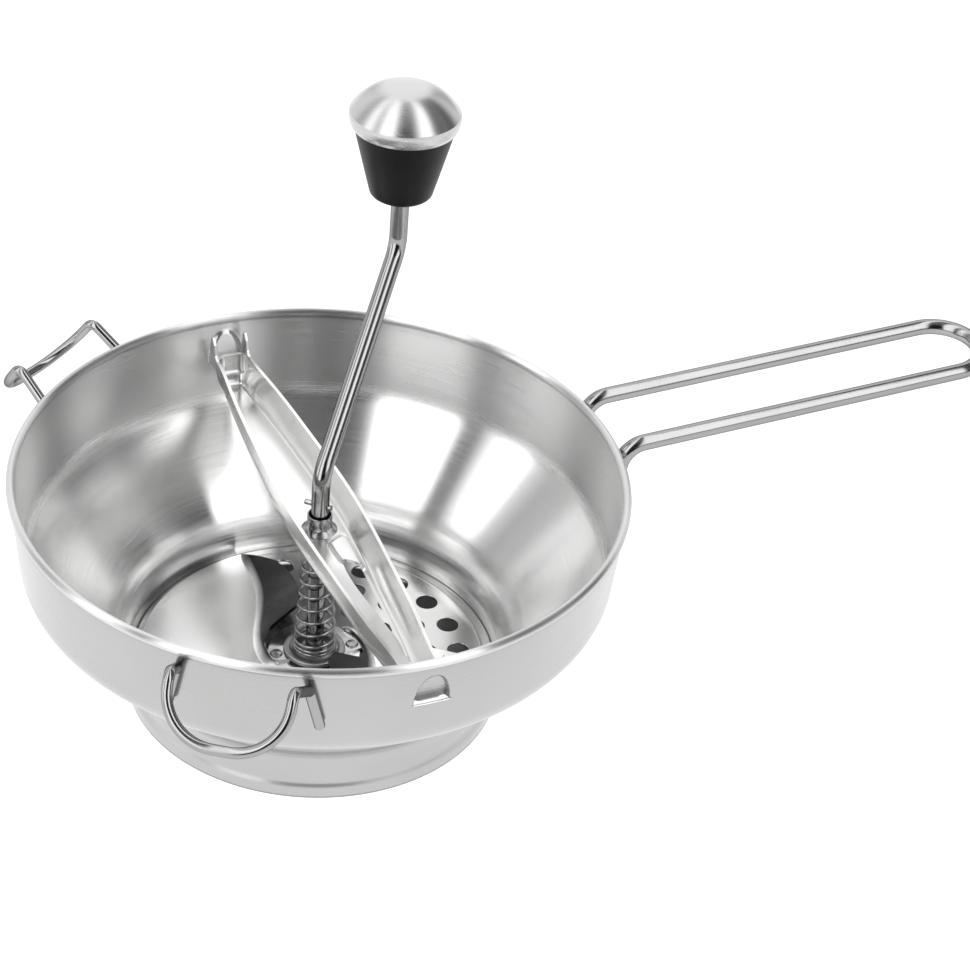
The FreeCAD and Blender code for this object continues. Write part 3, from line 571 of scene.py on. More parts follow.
def polished(name, tint, rough, ripple, scale, stretch=(1.0, 1.0, 1.0), edge=1.0, wipe=0.5, painted_shade_heights=None):
    """Polished steel: soft ripples and faint wipe marks, and less shine where it is seen edge-on. The last
    argument is a pair of heights over which the steel is painted almost black, and stays so above them:
    painted shade that stands in for the dark reflection on the blade's bent-up nose."""
    recipe = Recipe(name)
    paint = None
    # painted shade: above these heights the blade's bent-up nose is painted nearly black, standing in for the
    # dark reflection it shows
    if painted_shade_heights:
        cloud = recipe.spread(recipe.noise(recipe.spot, 60.0), 0.3, 0.7, 0.0, 0.05)
        clear = recipe.maths("SUBTRACT", 1.0, cloud)
        share = recipe.maths("MULTIPLY", recipe.spread(recipe.height, *painted_shade_heights), clear)
        paint = recipe.blend(share, tint, shaded(tint, 0.03))
    base = metal(recipe, tint, 0.95, (rough * 0.8, rough * 1.25), 35.0, paint)
    mapping = recipe.node("ShaderNodeMapping")
    recipe.feed(recipe.spot, mapping.inputs["Vector"])
    mapping.inputs["Scale"].default_value = stretch
    wipes = recipe.noise(mapping.outputs[0], scale * 12, 3.0)
    recipe.set(Roughness=recipe.maths("ADD", base, recipe.spread(wipes, 0.45, 0.75, 0.0, rough * wipe)),
               Specular_Tint=(edge, edge, edge, 1.0))
    recipe.bump(recipe.noise(mapping.outputs[0], scale, 1.0), ripple)


def moulded(name, tint, rough):
    """Moulded plastic: a dark satin skin with a very fine grain."""
    recipe = Recipe(name)
    grain = recipe.noise(recipe.spot, 2600.0)
    cloud = recipe.spread(recipe.noise(recipe.spot, 60.0), 0.3, 0.7)
    recipe.set(Base_Color=recipe.blend(cloud, tint, tuple(c * 1.6 + 0.002 for c in tint)),
               Roughness=recipe.spread(grain, 0.3, 0.7, rough * 0.85, rough * 1.2), Specular_IOR_Level=0.15)
    recipe.bump(grain, 0.00002)


def painted_gap_shade(name):
    """Near-black finish for a ring set in the gap between two pieces that run in each other: painted shade
    that stands in for the shadow down in that gap.
    """
    recipe = Recipe(name)
    recipe.set(Base_Color=recipe.blend(recipe.noise(recipe.spot, 900.0), (0.002,) * 3, (0.012,) * 3),
               Roughness=0.6, Specular_IOR_Level=0.1)


class MILL_OT_finishes(bpy.types.Operator):
    """Makes every finish of the object"""

    bl_idname = "mill.finishes"
    bl_label = "Finishes"

    def execute(self, context):
        f = context.scene.mill_finish
        steel, outer, wire, bright, blade, knob = (tuple(getattr(f, name)) for name in (
            "steel", "outer_steel", "wire", "bright", "blade", "knob"))
        sheet, gloss = f.sheet_rough, f.wire_rough
        # painted light and shade: bowl_outside and bowl_inside use a darker and a lighter copy of the same
        # steel, standing in for how light falls on each side
        brushed_round("bowl_outside", outer, f.outside_rough, grain=5e-7, climb=900.0, lean=0.4, streak=0.12)
        # the inside's rolled rim gets painted shade above the roll height
        brushed_round("bowl_inside", steel, f.inside_rough, grain=4e-6, climb=1800.0, lean=1.0,
                      band_rough=f.band_rough, body=0.97, roll=0.0885)
        brushed_round("cap_steel", shaded(wire, 1.62), 0.26, grain=0.0, climb=900.0, lean=0.0, streak=0.3)
        polished("sieve_sheet", bright, sheet, ripple=3e-6, scale=90.0)
        polished("bridge_sheet", shaded(bright, 1.4), sheet * 2, 0.0, 40.0, stretch=(1.0, 0.2, 1.0), wipe=0.0)
        # the blade's bent-up nose is given painted shade, a stand-in for its dark reflection
        polished("blade_sheet", blade, sheet * 1.9, 0.0, 40.0, wipe=0.0, painted_shade_heights=(0.0108, 0.0125))
        polished("rod", wire, gloss, 1e-5, 120.0, stretch=(1.0, 1.0, 0.3), edge=0.35)
        for name, rough, scale, edge in (("wire", gloss, 120.0, 0.35),
                                         ("spring_wire", gloss * 1.2, 200.0, 0.4),
                                         ("turned_steel", gloss * 1.5, 150.0, 0.5),
                                         ("seat_steel", 0.34, 150.0, 1.0)):
            polished(name, wire, rough, 1e-5, scale, edge=edge)
        moulded("knob_plastic", knob, 0.4)
        # painted shade for the gap in the collar's mouth
        painted_gap_shade("gap")
        return {"FINISHED"}


# ---------------- bowl and sieve
def bowl_profile(b):
    """Middle line of the bowl's sheet as radius and height: foot ring, folded ledge, throat, cone, band and
    roll."""
    ledge, throat, top = b.ledge_height, b.throat_radius, b.rim_height
    groove_depth, groove_low, groove_high, below_roll = 0.45, 3.2, 2.6, 1.2
    line = rounded([(b.foot_radius, 0.0), (b.foot_radius, ledge - groove_low),
                    (throat - groove_depth, ledge - 0.6), (throat, ledge + groove_high),
                    (throat, b.throat_height), (b.shoulder_radius, b.shoulder_height),
                    (b.rim_radius - 0.1, top - b.rim_roll - below_roll)], [3.0, 3.5, 4.0, 24, 11])
    turn = np.radians(np.linspace(-110, -420, 40))
    curl = [b.rim_radius, top] + ring(turn, b.rim_roll)
    return spaced(np.concatenate([line, curl]), 1.3)


def bowl_grid(b):
    """The bowl's sheet: its profile turned about Z, with each lug pushed inwards. The lug is a ramp that
    runs from nothing at its top to its full depth at the lip, inside the ellipse of its half width and
    rise, and its rim follows the smooth step of (1 - q) / 0.16 for q, the distance from the lug's foot as a
    share of that ellipse. The faces along the lip are left out, so that it stands open. Returns the grid
    and the faces to keep."""
    lip, rise, band_from, margin, crack = b.lug_lip, b.lug_rise, 100.0, 0.8, 0.01
    profile = bowl_profile(b)
    near = np.abs(profile[:, 1] - (lip + rise / 2)) < rise / 2 + 1
    near &= (profile[:, 0] > band_from) & (profile[:, 1] < lip + rise + 1)
    heights = np.linspace(lip - margin, lip + rise + margin, 40)
    band = points(np.interp(heights, profile[near, 1], profile[near, 0]), heights)
    at_lip = np.interp(lip, heights, band[:, 0])
    band = np.concatenate([band[heights < lip - 0.1], [[at_lip, lip - crack], [at_lip, lip]],
                           band[heights > lip + 0.1]])
    before, after = profile[:np.argmax(near)], profile[len(near) - np.argmax(near[::-1]):]
    before = before[before[:, 1] < heights[0] - 0.2]
    after = after[(after[:, 1] > heights[-1] + 0.2) | (np.arange(len(after)) > 2)]
    profile = np.concatenate([before, band, after])
    fine, coarse, reach, quarter = math.radians(0.28), math.radians(1.25), math.radians(6.0), math.pi / 2
    plain = np.linspace(reach - quarter, quarter - reach, int((math.pi - 2 * reach) / coarse))
    lug = np.linspace(-reach, reach, int(2 * reach / fine))[1:-1]
    turns = np.concatenate([plain, quarter + lug, math.pi + plain, 3 * quarter + lug])
    grid = turned_grid(profile, turns)
    radius = np.hypot(grid[..., 0], grid[..., 1])
    up = (grid[..., 2] - lip) / rise
    ellipse = np.hypot(radius * np.cos(turns) / b.lug_half, np.clip(up, 0, None))
    rim_share = np.clip((1 - ellipse) / 0.16, 0, 1)
    share = np.clip(1.0 - 0.92 * up, 0, 1) ** 0.8 * rim_share * rim_share * (3 - 2 * rim_share)
    share = np.where((up < -1e-6) | (radius < band_from), 0, share)
    grid[..., :2] *= (1 - share * b.lug_depth / radius)[..., None]
    sill = int(np.argmin(np.abs(profile[:, 1] - (lip - crack)) + (profile[:, 0] < band_from) * 99))
    keep = np.ones((len(profile) - 1, len(turns)), bool)
    hit = share[sill + 1] > 0
    keep[sill] = ~(hit | np.roll(hit, -1))
    return grid, keep


class MILL_OT_bowl(bpy.types.Operator):
    """Makes the pressed bowl with its rolled rim, its lugs and its folded ledge"""

    bl_idname = "mill.bowl"
    bl_label = "Bowl"

    def execute(self, context):
        b = Sizes(context.scene.mill_bowl)
        grid, keep = bowl_grid(b)
        bowl = put_piece("bowl_shell", [(grid, False, True, keep)], "bowl_inside bowl_outside",
                         "bowl_assembly", "bowl_steel", "bowl", face_out=False)
        thicken(bowl, b.wall, inner_finish=1)
        return {"FINISHED"}


# rings of the sieve's holes: radius, how many holes, and the angle of the first in degrees
HOLE_RINGS = ((53.8, 22, 0.9), (41.6, 17, 5.9), (29.6, 12, 11.9), (17.8, 7, 23.9))


class MILL_OT_sieve(bpy.types.Operator):
    """Makes the perforated sieve disc with its stepped edge"""

    bl_idname = "mill.sieve"
    bl_label = "Sieve disc"

    def execute(self, context):
        b = Sizes(context.scene.mill_bowl)
        plate_radius, pilot_radius, plate_middle, plate_wall = 62.3, 5.28, 8.5, 0.8
        holes = [ring(math.radians(start) + full_turn(count), radius) for radius, count, start in HOLE_RINGS]
        outlines = [ring(full_turn(180), plate_radius), ring(full_turn(40), pilot_radius)]
        outlines += [ring(full_turn(40), b.hole_radius) + spot for spot in np.concatenate(holes)]
        ledge = rounded([(67.2, 6.8), (63.9, 6.8), (63.9, 7.5), (67.2, 7.5)], [0.3, 0.3], 30.0)
        edge = rounded([(62.0, 8.9), (62.6, 8.9), (63.6, 8.4), (66.7, 8.4), (66.7, 7.6), (63.2, 7.6),
                        (62.2, 8.1), (62.0, 8.1)], [0.5, 0.5, 0.25, 0.25, 0.5, 0.5])
        put_piece("sieve_ledge", [(turned_grid(ledge, full_turn(180)), True, True)], "bowl_outside",
                  "bowl_assembly", "bowl_steel")
        flat_piece("sieve_plate", outlines, plate_wall, 0.15, plate_middle, "sieve_sheet", "bowl_assembly",
                   "sieve_steel", "sieve_disc")
        put_piece("sieve_edge", [(turned_grid(edge, full_turn(180)), True, True)], "sieve_sheet",
                  "bowl_assembly", "sieve_steel")
        return {"FINISHED"}


# ---------------- handle and hooks
def wall_point(half_gap, radius, height):
    """Middle of a wire that leans on the upper band at half_gap to one side. The band's outer face is a
    straight taper from its foot to its top."""
    (foot, low), (head, high) = (105.8, 55.8), (108.6, 88.75)
    reach = foot + (height - low) * (head - foot) / (high - low) + radius - 0.2
    return np.array([math.sqrt(reach ** 2 - half_gap ** 2), half_gap, height])


class MILL_OT_wires(bpy.types.Operator):
    """Makes the long loop handle and the two pot hooks from bent wire"""

    bl_idname = "mill.wires"
    bl_label = "Handle and hooks"

    def execute(self, context):
        w = Sizes(context.scene.mill_wires)
        radius, half, foot_height, bend = w.handle_wire / 2, w.handle_gap / 2, 68.5, 9.5
        head = wall_point(half, radius, w.handle_height)
        tip_x = w.handle_reach - radius
        tip = np.array([tip_x, half, head[2] + math.tan(w.handle_slope) * (tip_x - head[0])])
        corners = mirrored([wall_point(half, radius, foot_height), head, tip])
        path = spaced(rounded(corners, [bend, half - 0.02, half - 0.02, bend], 5.0), 4.0)
        wire_piece("handle_loop", path, radius, 32, (0.5, 0.7, 0.6), 1.0, "wire", "bowl_assembly",
                   "wire_steel", "handle")
        radius, crest, loop, bend = w.hook_wire / 2, np.array([122.1, 20.15, 94.2]), 17.5, 3
        drop = np.array([math.cos(w.hook_droop), 0, -math.sin(w.hook_droop)]) * w.hook_depth
        corners = mirrored([wall_point(25.5, radius, 67.5), wall_point(22, radius, 83.6), crest,
                            crest + drop])
        path = spaced(rounded(corners, [bend, bend, loop, loop, bend, bend], 6.0), 1.5)
        for label, sign in (("hook_left", 1), ("hook_right", -1)):
            grid = spun(blunt_tube(path, radius, 24, (0.57, 0.7, 0.42), 0.6), sign * w.hook_turn)
            put_piece(label + "_wire", [(grid, False, True)], "wire", "bowl_assembly", "wire_steel", label)
        return {"FINISHED"}


# ---------------- bridge
def half_width(y):
    """Half the trough's width at a distance y from the middle: an even polynomial through measured widths."""
    stations = np.array([0, 13.75, 31.2, 42.6, 52.2, 61.4, 69.7, 78.8, 87.1, 94.0])
    widths = np.array([13.15, 12.7, 11.85, 11.25, 10.7, 10.0, 9.2, 8.3, 7.45, 7.0])
    return np.polyval(np.polyfit(stations ** 2, widths, 4), np.minimum(np.abs(y), 96.0) ** 2)


def slot_edges(y):
    """Left and right edge of the opening in the floor at y; they meet in a slit beyond its ends."""
    left = np.interp(
        y, [-98.0, -80.9, -72.1, -65.1, -59.8, -51.6, -44.3, -37.6, -32.2, -26.3, -21.6, -11.6, 98.0],
        [3.7, 3.9, 4.1, 3.6, 2.9, 2.2, 1.4, 0.7, 0.4, 0.4, 0.9, 0.1, 0.1])
    width = np.interp(
        y, [-98.0, -82.0, -73.4, -66.8, -60.6, -56.2, -47.9, -42.1, -36.3, -30.3, -26.4, -23.4, -21.8,
            -20.6, 98.0],
        [0.1, 0.1, 0.7, 1.6, 2.5, 3.2, 5.3, 6.2, 7.1, 7.1, 6.1, 4.3, 2.2, 0.1, 0.1])
    return left, left + width


def all_round(side, corner, end):
    """Lays the right side, the far right corner and the far end of an outline round all four sides, as mirror
    images in the order in which they follow each other."""
    flip_x, flip_y = np.array([-1.0, 1.0]), np.array([1.0, -1.0])
    return [side, corner, end, (corner * flip_x)[::-1], (side * flip_x)[::-1], corner * flip_x * flip_y,
            end * flip_x * flip_y, (corner * flip_y)[::-1]]


def trough_ring(s):
    """The trough's wall: at each place round its plan outline, a profile that goes down from the upper
    edge, round a quarter ellipse and in to the floor's edge. Returns the grid and the floor edge's points
    by side."""
    half_sheet, corner = 0.6, s.corner
    long = s.half_length - half_sheet
    y = np.concatenate([np.linspace(-(long - corner), -24, 80), np.linspace(-24, -3, 60)[1:],
                        np.linspace(-3, long - corner, 80)[1:]])
    width = half_width(y) - half_sheet
    end = float(half_width(long) - half_sheet)
    width += (end - width[[0, -1]]).mean() * np.clip((np.abs(y) - 80) / 20, 0, 1)
    arc = np.radians(np.linspace(0, 90, 9)[1:-1])
    round_off = ring(arc)
    across = np.linspace(end - corner, -(end - corner), 9)
    parts = all_round(points(width, y), [end - corner, long - corner] + corner * round_off,
                      points(across, long))
    inward = np.concatenate(all_round(unit(points(-1.0, np.gradient(width, y))), -round_off,
                                      points(0.0 * across, -1.0)))
    outline = np.concatenate(parts)
    sweep = np.radians(np.linspace(0, 90, 14))
    curve = points(s.belly_reach * (1 - np.cos(sweep)), s.floor + s.belly * (1 - np.sin(sweep)))
    profile = spaced(np.concatenate([[[0.0, s.top]], curve, [[s.belly_reach + 0.4, s.floor]]]), 1.2)
    profile[:, 0] += 0.35 * (s.top - profile[:, 1]) / (s.top - s.floor)
    x, y = np.moveaxis(outline + profile[:, :1, None] * inward, -1, 0)
    grid = points(x, y, profile[:, 1:])
    right, _, far, _, left, _, near, _ = np.split(grid[-1], np.cumsum([len(part) for part in parts])[:-1])
    return grid, right, left[::-1], far[::-1], near


def trough_floor(s, right, left, far_edge, near_edge):
    """The trough's floor: rows join matching points of the two side edges. Columns follow the opening's
    edges, and the faces between those edges are left out where the opening is wide. Right of the opening
    the floor in front of the step is raised, by 1 / (1 + exp of the distance from the step), with a faint
    dip behind it, and the step leans across the floor."""
    strip_columns, panel_columns, step, slant = 12, 26, -9.9, 0.42
    y = right[:, 1]
    slot_left, slot_right = slot_edges(y)
    inside = np.clip(points(slot_left, slot_right), left[:, :1] + 0.8, right[:, :1] - 0.8)
    strip = left[:, :1] + (inside[:, :1] - left[:, :1]) * np.linspace(0, 1, strip_columns)
    panel = inside[:, 1:] + (right[:, :1] - inside[:, 1:]) * np.linspace(0, 1, panel_columns)
    x = np.concatenate([strip, panel], axis=1)
    grid = points(x, y[:, None], s.floor)
    past = grid[..., 1] - step
    lift = 1 / (1 + np.exp(np.clip(past / 0.16, -60, 60)))
    lift -= 0.35 * np.exp(-(np.clip(past, 0, None) / 2.2) ** 2) * (past > 0)
    border = np.clip((right[:, :1] - x - 0.5) / 0.7, 0, 1)
    on_panel = np.arange(x.shape[1]) >= strip_columns
    grid[..., 2] += s.panel_rise * lift * on_panel * border * border * (3 - 2 * border)
    grid[..., 1] += (slant * np.clip(x, 0, None) * np.exp(-(past / 7.0) ** 2)
                     * np.clip((right[:, :1] - x) / 2.5, 0, 1))
    keep = np.ones((len(y) + 1, x.shape[1] - 1), bool)
    open_row = (slot_right - slot_left) > 0.45
    keep[1:-1, strip_columns - 1] = ~(open_row[1:] & open_row[:-1])
    ends = []
    for edge, row in ((near_edge, x[0]), (far_edge, x[-1])):
        spread = np.interp((row - row[0]) / (row[-1] - row[0]), np.linspace(0, 1, len(edge)), edge[:, 0])
        ends.append(points(spread, edge[0, 1], s.floor)[None])
    return np.concatenate([ends[0], grid, ends[1]]), keep


class MILL_OT_bridge(bpy.types.Operator):
    """Makes the trough-shaped bridge with its opening, its tongues and its ears"""

    bl_idname = "mill.bridge"
    bl_label = "Bridge"

    def execute(self, context):
        s = Sizes(context.scene.mill_bridge)
        tongue_height, tongue_half, tongue_foot = 71.38, 4.5, 97.0
        ear_gap, ear_middle = 6.3, np.array([99.5, 78.0])
        wall, *edges = trough_ring(s)
        floor, keep = trough_floor(s, *edges)
        trough = [(wall, False, True), (floor, False, False, keep)]
        about = ("bridge_sheet", "bridge_assembly", "bridge_steel")
        thicken(put_piece("bridge_trough", trough, *about, "bridge"), s.sheet, 0.28)
        rows = np.linspace(0, 1, 8)[:, None, None]
        tongue = rounded([(-tongue_half, tongue_foot), (-tongue_half, 103.8), (tongue_half, 103.8),
                          (tongue_half, tongue_foot)], [1.5, 1.5])
        tongue = np.array([0.0, tongue_foot]) * (1 - rows) + tongue * rows
        ear = rounded([(95.2, 73.8), (103.1, 73.2), (104.1, 80.2), (102.9, 85.4), (101.3, 86.6), (99.3, 84.0),
                       (97.8, 79.4), (95.2, 78.6)], [1.0, 2.0, 1.5, 1.2, 2.0, 2.0])
        ear = ear_middle + (ear - ear_middle) * rows
        for end, name in ((1, "far"), (-1, "near")):
            pieces = {"tongue_" + name: points(tongue[..., 0], tongue[..., 1] * end, tongue_height)}
            for side, hand in ((1, "right"), (-1, "left")):
                pieces["ear_%s_%s" % (name, hand)] = points(side * ear_gap, ear[..., 0] * end, ear[..., 1])
            for label, grid in pieces.items():
                thicken(put_piece(label, [(grid, False, label.startswith("ear"))], *about), s.sheet, 0.25)
        return {"FINISHED"}


# ---------------- turned pieces, spring and crank
# heights where the seat, the spring, its washer and the collar meet, the rod's radius and the bore on it
SEAT_TOP, SPRING_TOP, WASHER_TOP = 13.0, 63.6, 64.6
ROD, BORE = 3.25, 3.33


class MILL_OT_collar(bpy.types.Operator):
    """Makes the collar, the washer, the spring seat and the pilot nut"""

    bl_idname = "mill.collar"
    bl_label = "Collar and round fittings"

    def execute(self, context):
        s = Sizes(context.scene.mill_bridge)
        top, r, seat = s.collar_top, s.collar_radius, SEAT_TOP
        on_bridge = ("turned_steel", "bridge_assembly", "collar_steel")
        turned_piece("collar_tube", [(BORE, WASHER_TOP), (7.6, WASHER_TOP), (7.6, 65.5), (5.2, 65.5),
                                     (5.2, 66.6), (6.6, 66.7), (r, 68.6), (r, top), (3.95, top), (3.95, 69.0),
                                     (BORE, 68.4)],
                     [0.2, 0.2, 0.2, 0.1, 0.1, 0.05, 2.2, 0.28, 0.22, 0.1, 0.1], *on_bridge, "bridge_collar",
                     step=0.6)
        # a near-black ring in the collar's mouth, between rod and bore: painted shade standing in for the
        # shadow there
        turned_piece("collar_painted_shade", [(BORE, 70.6), (3.9, 70.6), (3.9, 72.3), (BORE, 72.3)], [0.05] * 4, "gap",
                     *on_bridge[1:], segments=64)
        tab = rounded([(-4.2, -1.2, 70.3), (-5.5, -2.6, 69.6), (-6.0, -5.4, 67.4), (-4.6, -7.4, 67.0)],
                      [1.2, 1.6])
        wire_piece("collar_tab", spaced(tab, 0.5), 0.75, 20, (0.6, -0.7, 0.4), 0.3, *on_bridge)
        turned_piece("top_washer", [(BORE, SPRING_TOP), (6.6, SPRING_TOP), (6.6, WASHER_TOP),
                                    (BORE, WASHER_TOP)], [0.2] * 4,
                     *on_bridge, "spring_top_washer", segments=64)
        turned_piece("seat_cup", [(BORE, 12.1), (10.5, 12.1), (10.5, 11.7), (11.4, 11.7), (11.4, seat),
                                  (9.4, seat), (8.6, 12.7), (5.6, 12.7), (4.9, seat), (BORE, seat)],
                     [0.1, 0.1, 0.1, 0.2, 0.8, 0.4, 0.3, 0.3, 0.4, 0.2], "seat_steel", "spring_seat_assembly",
                     "collar_steel", "spring_seat")
        turned_piece("pilot_end", [(ROD, 5.1), (4.4, 5.1), (5.2, 5.9), (5.2, 9.3), (ROD, 9.3)],
                     [0.1, 0.3, 0.3, 0.1, 0.1], "turned_steel", "crank_assembly", "collar_steel", "pilot_nut",
                     segments=64)
        return {"FINISHED"}


class MILL_OT_spring(bpy.types.Operator):
    """Makes the conical spring with its closed lower coils"""

    bl_idname = "mill.spring"
    bl_label = "Spring"

    def execute(self, context):
        c = Sizes(context.scene.mill_crank)
        wire = c.spring_wire / 2
        turns = np.linspace(0, 11.2, 900)
        pitch = np.interp(turns, [0, 0.6, 2.2, 3.2, 10.3, 11.2], [0.4, 1.3, 1.9, 5.9, 6.1, 1.0])
        climb = np.concatenate([[0], np.cumsum((pitch[1:] + pitch[:-1]) / 2 * np.diff(turns))])
        share = climb / climb[-1]
        radius = c.spring_foot + (c.spring_head - c.spring_foot) * share
        x, y = ring(turns * 2 * math.pi, radius).T
        path = points(x, y, SEAT_TOP + wire + share * (SPRING_TOP - SEAT_TOP - 2 * wire))
        coil = wire_piece("spring_coil", path, wire, 12, (0, 0, 1), 0.2, "spring_wire",
                          "spring_seat_assembly", "spring_steel", "spring")
        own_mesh(coil)
        return {"FINISHED"}


def crank_line(c, foot, head):
    """The bent rod's middle line as reach and height: shaft, an arc about the first centre, the straight
    arm, an arc about the second centre from its other side, and the knob's spindle. The arm's angle is that
    of the line between the centres less asin(2 bend / their distance)."""
    start, end = np.array([c.bend, c.lower_bend]), np.array([c.throw - c.bend, c.upper_bend])
    gap = end - start
    lean = math.atan2(gap[1], gap[0]) - math.asin(2 * c.bend / np.linalg.norm(gap))
    normal = lean + math.pi / 2
    arcs = [start + ring(np.linspace(math.pi, normal, 14), c.bend),
            end + ring(np.linspace(normal - math.pi, 0, 14), c.bend)]
    return spaced(np.concatenate([[[0, foot]], *arcs, [[c.throw, head]]]), 4.0)


class MILL_OT_crank(bpy.types.Operator):
    """Makes the bent crank rod, its cross pin and the ferrule under the knob"""

    bl_idname = "mill.crank"
    bl_label = "Crank rod"

    def execute(self, context):
        c = Sizes(context.scene.mill_crank)
        pin_height, pin_back, pin_front, rod_foot, rod_head = 77.0, -4.4, 5.9, 4.9, 197.9
        line = crank_line(c, rod_foot, rod_head)
        path = spun(points(line[:, 0], 0.0, line[:, 1]), c.crank_angle)
        side = spun(np.array([0.0, 1.0, 0.0]), c.crank_angle)
        about = ("rod", "crank_assembly", "rod_steel")
        wire_piece("rod", path, c.rod_radius, 32, side, 0.5, *about, "crank_rod")
        pin = spaced(np.array([side * reach + [0, 0, pin_height] for reach in (pin_back, pin_front)]), 1.0)
        wire_piece("pin", pin, 1.0, 24, (0, 0, 1), 0.25, *about, "stop_pin")
        ferrule = [(ROD, -1.6), (5.45, -1.2), (5.45, -0.1), (ROD, -0.05)] + np.array([0, c.knob_foot])
        turned_piece("ferrule", ferrule, [0.2, 0.5, 0.2, 0.1], *about, "knob_ferrule", segments=64,
                     centre=knob_spot(c))
        return {"FINISHED"}


# ---------------- knob
def knob_spot(c):
    """The knob's axis, seen from above."""
    return c.throw * math.cos(c.crank_angle), c.throw * math.sin(c.crank_angle)


class MILL_OT_knob(bpy.types.Operator):
    """Makes the black grip and the polished cap of the knob"""

    bl_idname = "mill.knob"
    bl_label = "Knob"

    def execute(self, context):
        c = Sizes(context.scene.mill_crank)
        foot, rise, r, brim, dome_rise = c.knob_foot, c.knob_rise, c.cap_radius, 4.7, 9.1
        top = foot + rise
        turned_piece("grip", [(BORE, foot), (11.0, foot), (13.2, foot + rise * 0.3),
                              (15.5, foot + rise * 0.62), (18.0, top - 0.8), (18.0, top), (6.4, top),
                              (6.4, top - 2.3), (BORE, top - 2.3)],
                     [0.3, 2.2, 20.0, 20.0, 0.4, 0.4, 0.3, 0.3, 0.3], "knob_plastic", "knob", "knob_black",
                     "knob_grip", segments=128, centre=knob_spot(c), step=1.2)
        share = np.linspace(0, 1, 40)[:-1]
        dome = points((r - 0.3) * share, top + brim + dome_rise * (1 - share ** 3))
        rim = rounded([dome[-1], (r - 0.25, top + brim), (r, top + 3.4), (r - 0.4, top + 0.8),
                       (18.75, top - 0.7), (18.05, top - 0.7), (18.05, top + 0.3), (17.2, top + 1.4),
                       (0.0, top + 1.4)], [0.4, 1.2, 2.0, 0.3, 0.2, 0.3, 0.3], 8.0)
        grid = turned_grid(spaced(np.concatenate([dome[:-1], rim]), 1.0), full_turn(144), knob_spot(c))
        put_piece("cap", [(grid, False, True)], "cap_steel", "knob", "cap_steel", "knob_cap")
        return {"FINISHED"}


# ---------------- blade
def blade_fold(t):
    """The fold line, as a smooth curve through measured points, for t from 0 at the rim to 1 at the hub."""
    stops = np.array([0.0, 0.16, 0.36, 0.52, 0.68, 0.84, 1.0])
    rows = np.array([[-7.1, 63.6], [-8.3, 51.7], [-10.4, 36.2], [-14.7, 24.9], [-19.2, 14.0], [-20.9, 1.5],
                     [-16.5, -9.5]])
    return points(*(np.polyval(np.polyfit(stops, row, 5), t) for row in rows.T))


def blade_half(s):
    """One wing and its nose. Across the fold the sheet is a line of cross sections: flat from the heel line
    to the fold, then round the fold's arc, then straight up at the nose angle for the nose's width
    there."""
    arc_rows, nose_rows, wing_rows, heel = 7, 15, 30, np.array([[-24.8, -1.3], [-59.9, 25.3]])
    t = np.linspace(0, 1, 90)
    fold = blade_fold(t)
    z = s.under + s.sheet / 2
    out = np.gradient(fold, axis=0)
    across = unit(points(-out[:, 1], out[:, 0]))
    across *= np.sign(across[:, :1] + 1e-9)
    width = np.interp(t, [0, 0.08, 0.2, 0.36, 0.5, 0.58, 0.66, 0.76, 0.9, 1.0],
                      [0.3, 5.0, 11.5, 16.5, 20.0, 18.0, 7.0, 3.6, 3.2, 2.2])
    rise, bend = s.nose_angle, s.fold_radius
    turn = np.linspace(0, rise, arc_rows)
    arc = points(bend * np.sin(turn), bend * (1 - np.cos(turn)))
    far = np.linspace(0, 1, nose_rows + 1)[1:, None, None]
    run = (width[None, :, None] * far) * np.array([math.cos(rise), math.sin(rise)])
    section = np.concatenate([np.broadcast_to(arc[:, None, :], (arc_rows, len(t), 2)), arc[-1] + run])
    nose = np.concatenate([fold + section[..., :1] * across, z + section[..., 1:]], axis=-1)
    slope = np.concatenate([turn, np.full(nose_rows, rise)])[:, None]
    facing = points(-np.sin(slope) * across[:, 0], -np.sin(slope) * across[:, 1], np.cos(slope))
    edge_turn = np.linspace(math.atan2(63.6, -7.1), math.atan2(heel[1, 1], heel[1, 0]), 40)
    rim = np.concatenate([ring(edge_turn, s.radius), spaced(heel[::-1], 1.0)[1:]])
    along = run_length(rim)
    rim = resample(rim, along, np.interp(t, [0, 0.8, 1.0], [0, 0.93, 1.0]) * along[-1])
    mix = np.linspace(0, 1, wing_rows)[:, None, None]
    flat = rim * (1 - mix) + fold * mix
    flat = points(flat[..., 0], flat[..., 1], z)
    grid = np.concatenate([flat, nose[1:]])
    from_axis = np.maximum(np.hypot(grid[..., 0], grid[..., 1]), 1e-6)
    grid[..., :2] *= np.minimum(1, s.radius / from_axis)[..., None]
    upright = np.zeros_like(flat) + [0, 0, 1]
    return closed_sheet(grid, np.concatenate([upright, facing[1:]]), s.sheet)


class MILL_OT_blade(bpy.types.Operator):
    """Makes the pressed blade and the round plate in its middle"""

    bl_idname = "mill.blade"
    bl_label = "Blade"

    def execute(self, context):
        s = Sizes(context.scene.mill_blade)
        low, high, core_radius = s.under, s.under + 1.18, 17.0
        core = turned_grid(rounded([(0.0, low), (core_radius, low), (core_radius, high), (0.0, high)],
                                   [0.25, 0.25]), full_turn(96))
        for label, way, stands_for in (("a", 1, ["blade"]), ("b", -1, [])):
            grids = [(grid * [way, way, 1], *wraps) for grid, *wraps in blade_half(s)]
            soften(put_piece("blade_wing_" + label, grids, "blade_sheet", "crank_assembly", "blade_steel",
                             *stands_for), 0.2, 60)
        put_piece("blade_core", [(core, False, True)], "blade_sheet", "crank_assembly", "blade_steel")
        return {"FINISHED"}


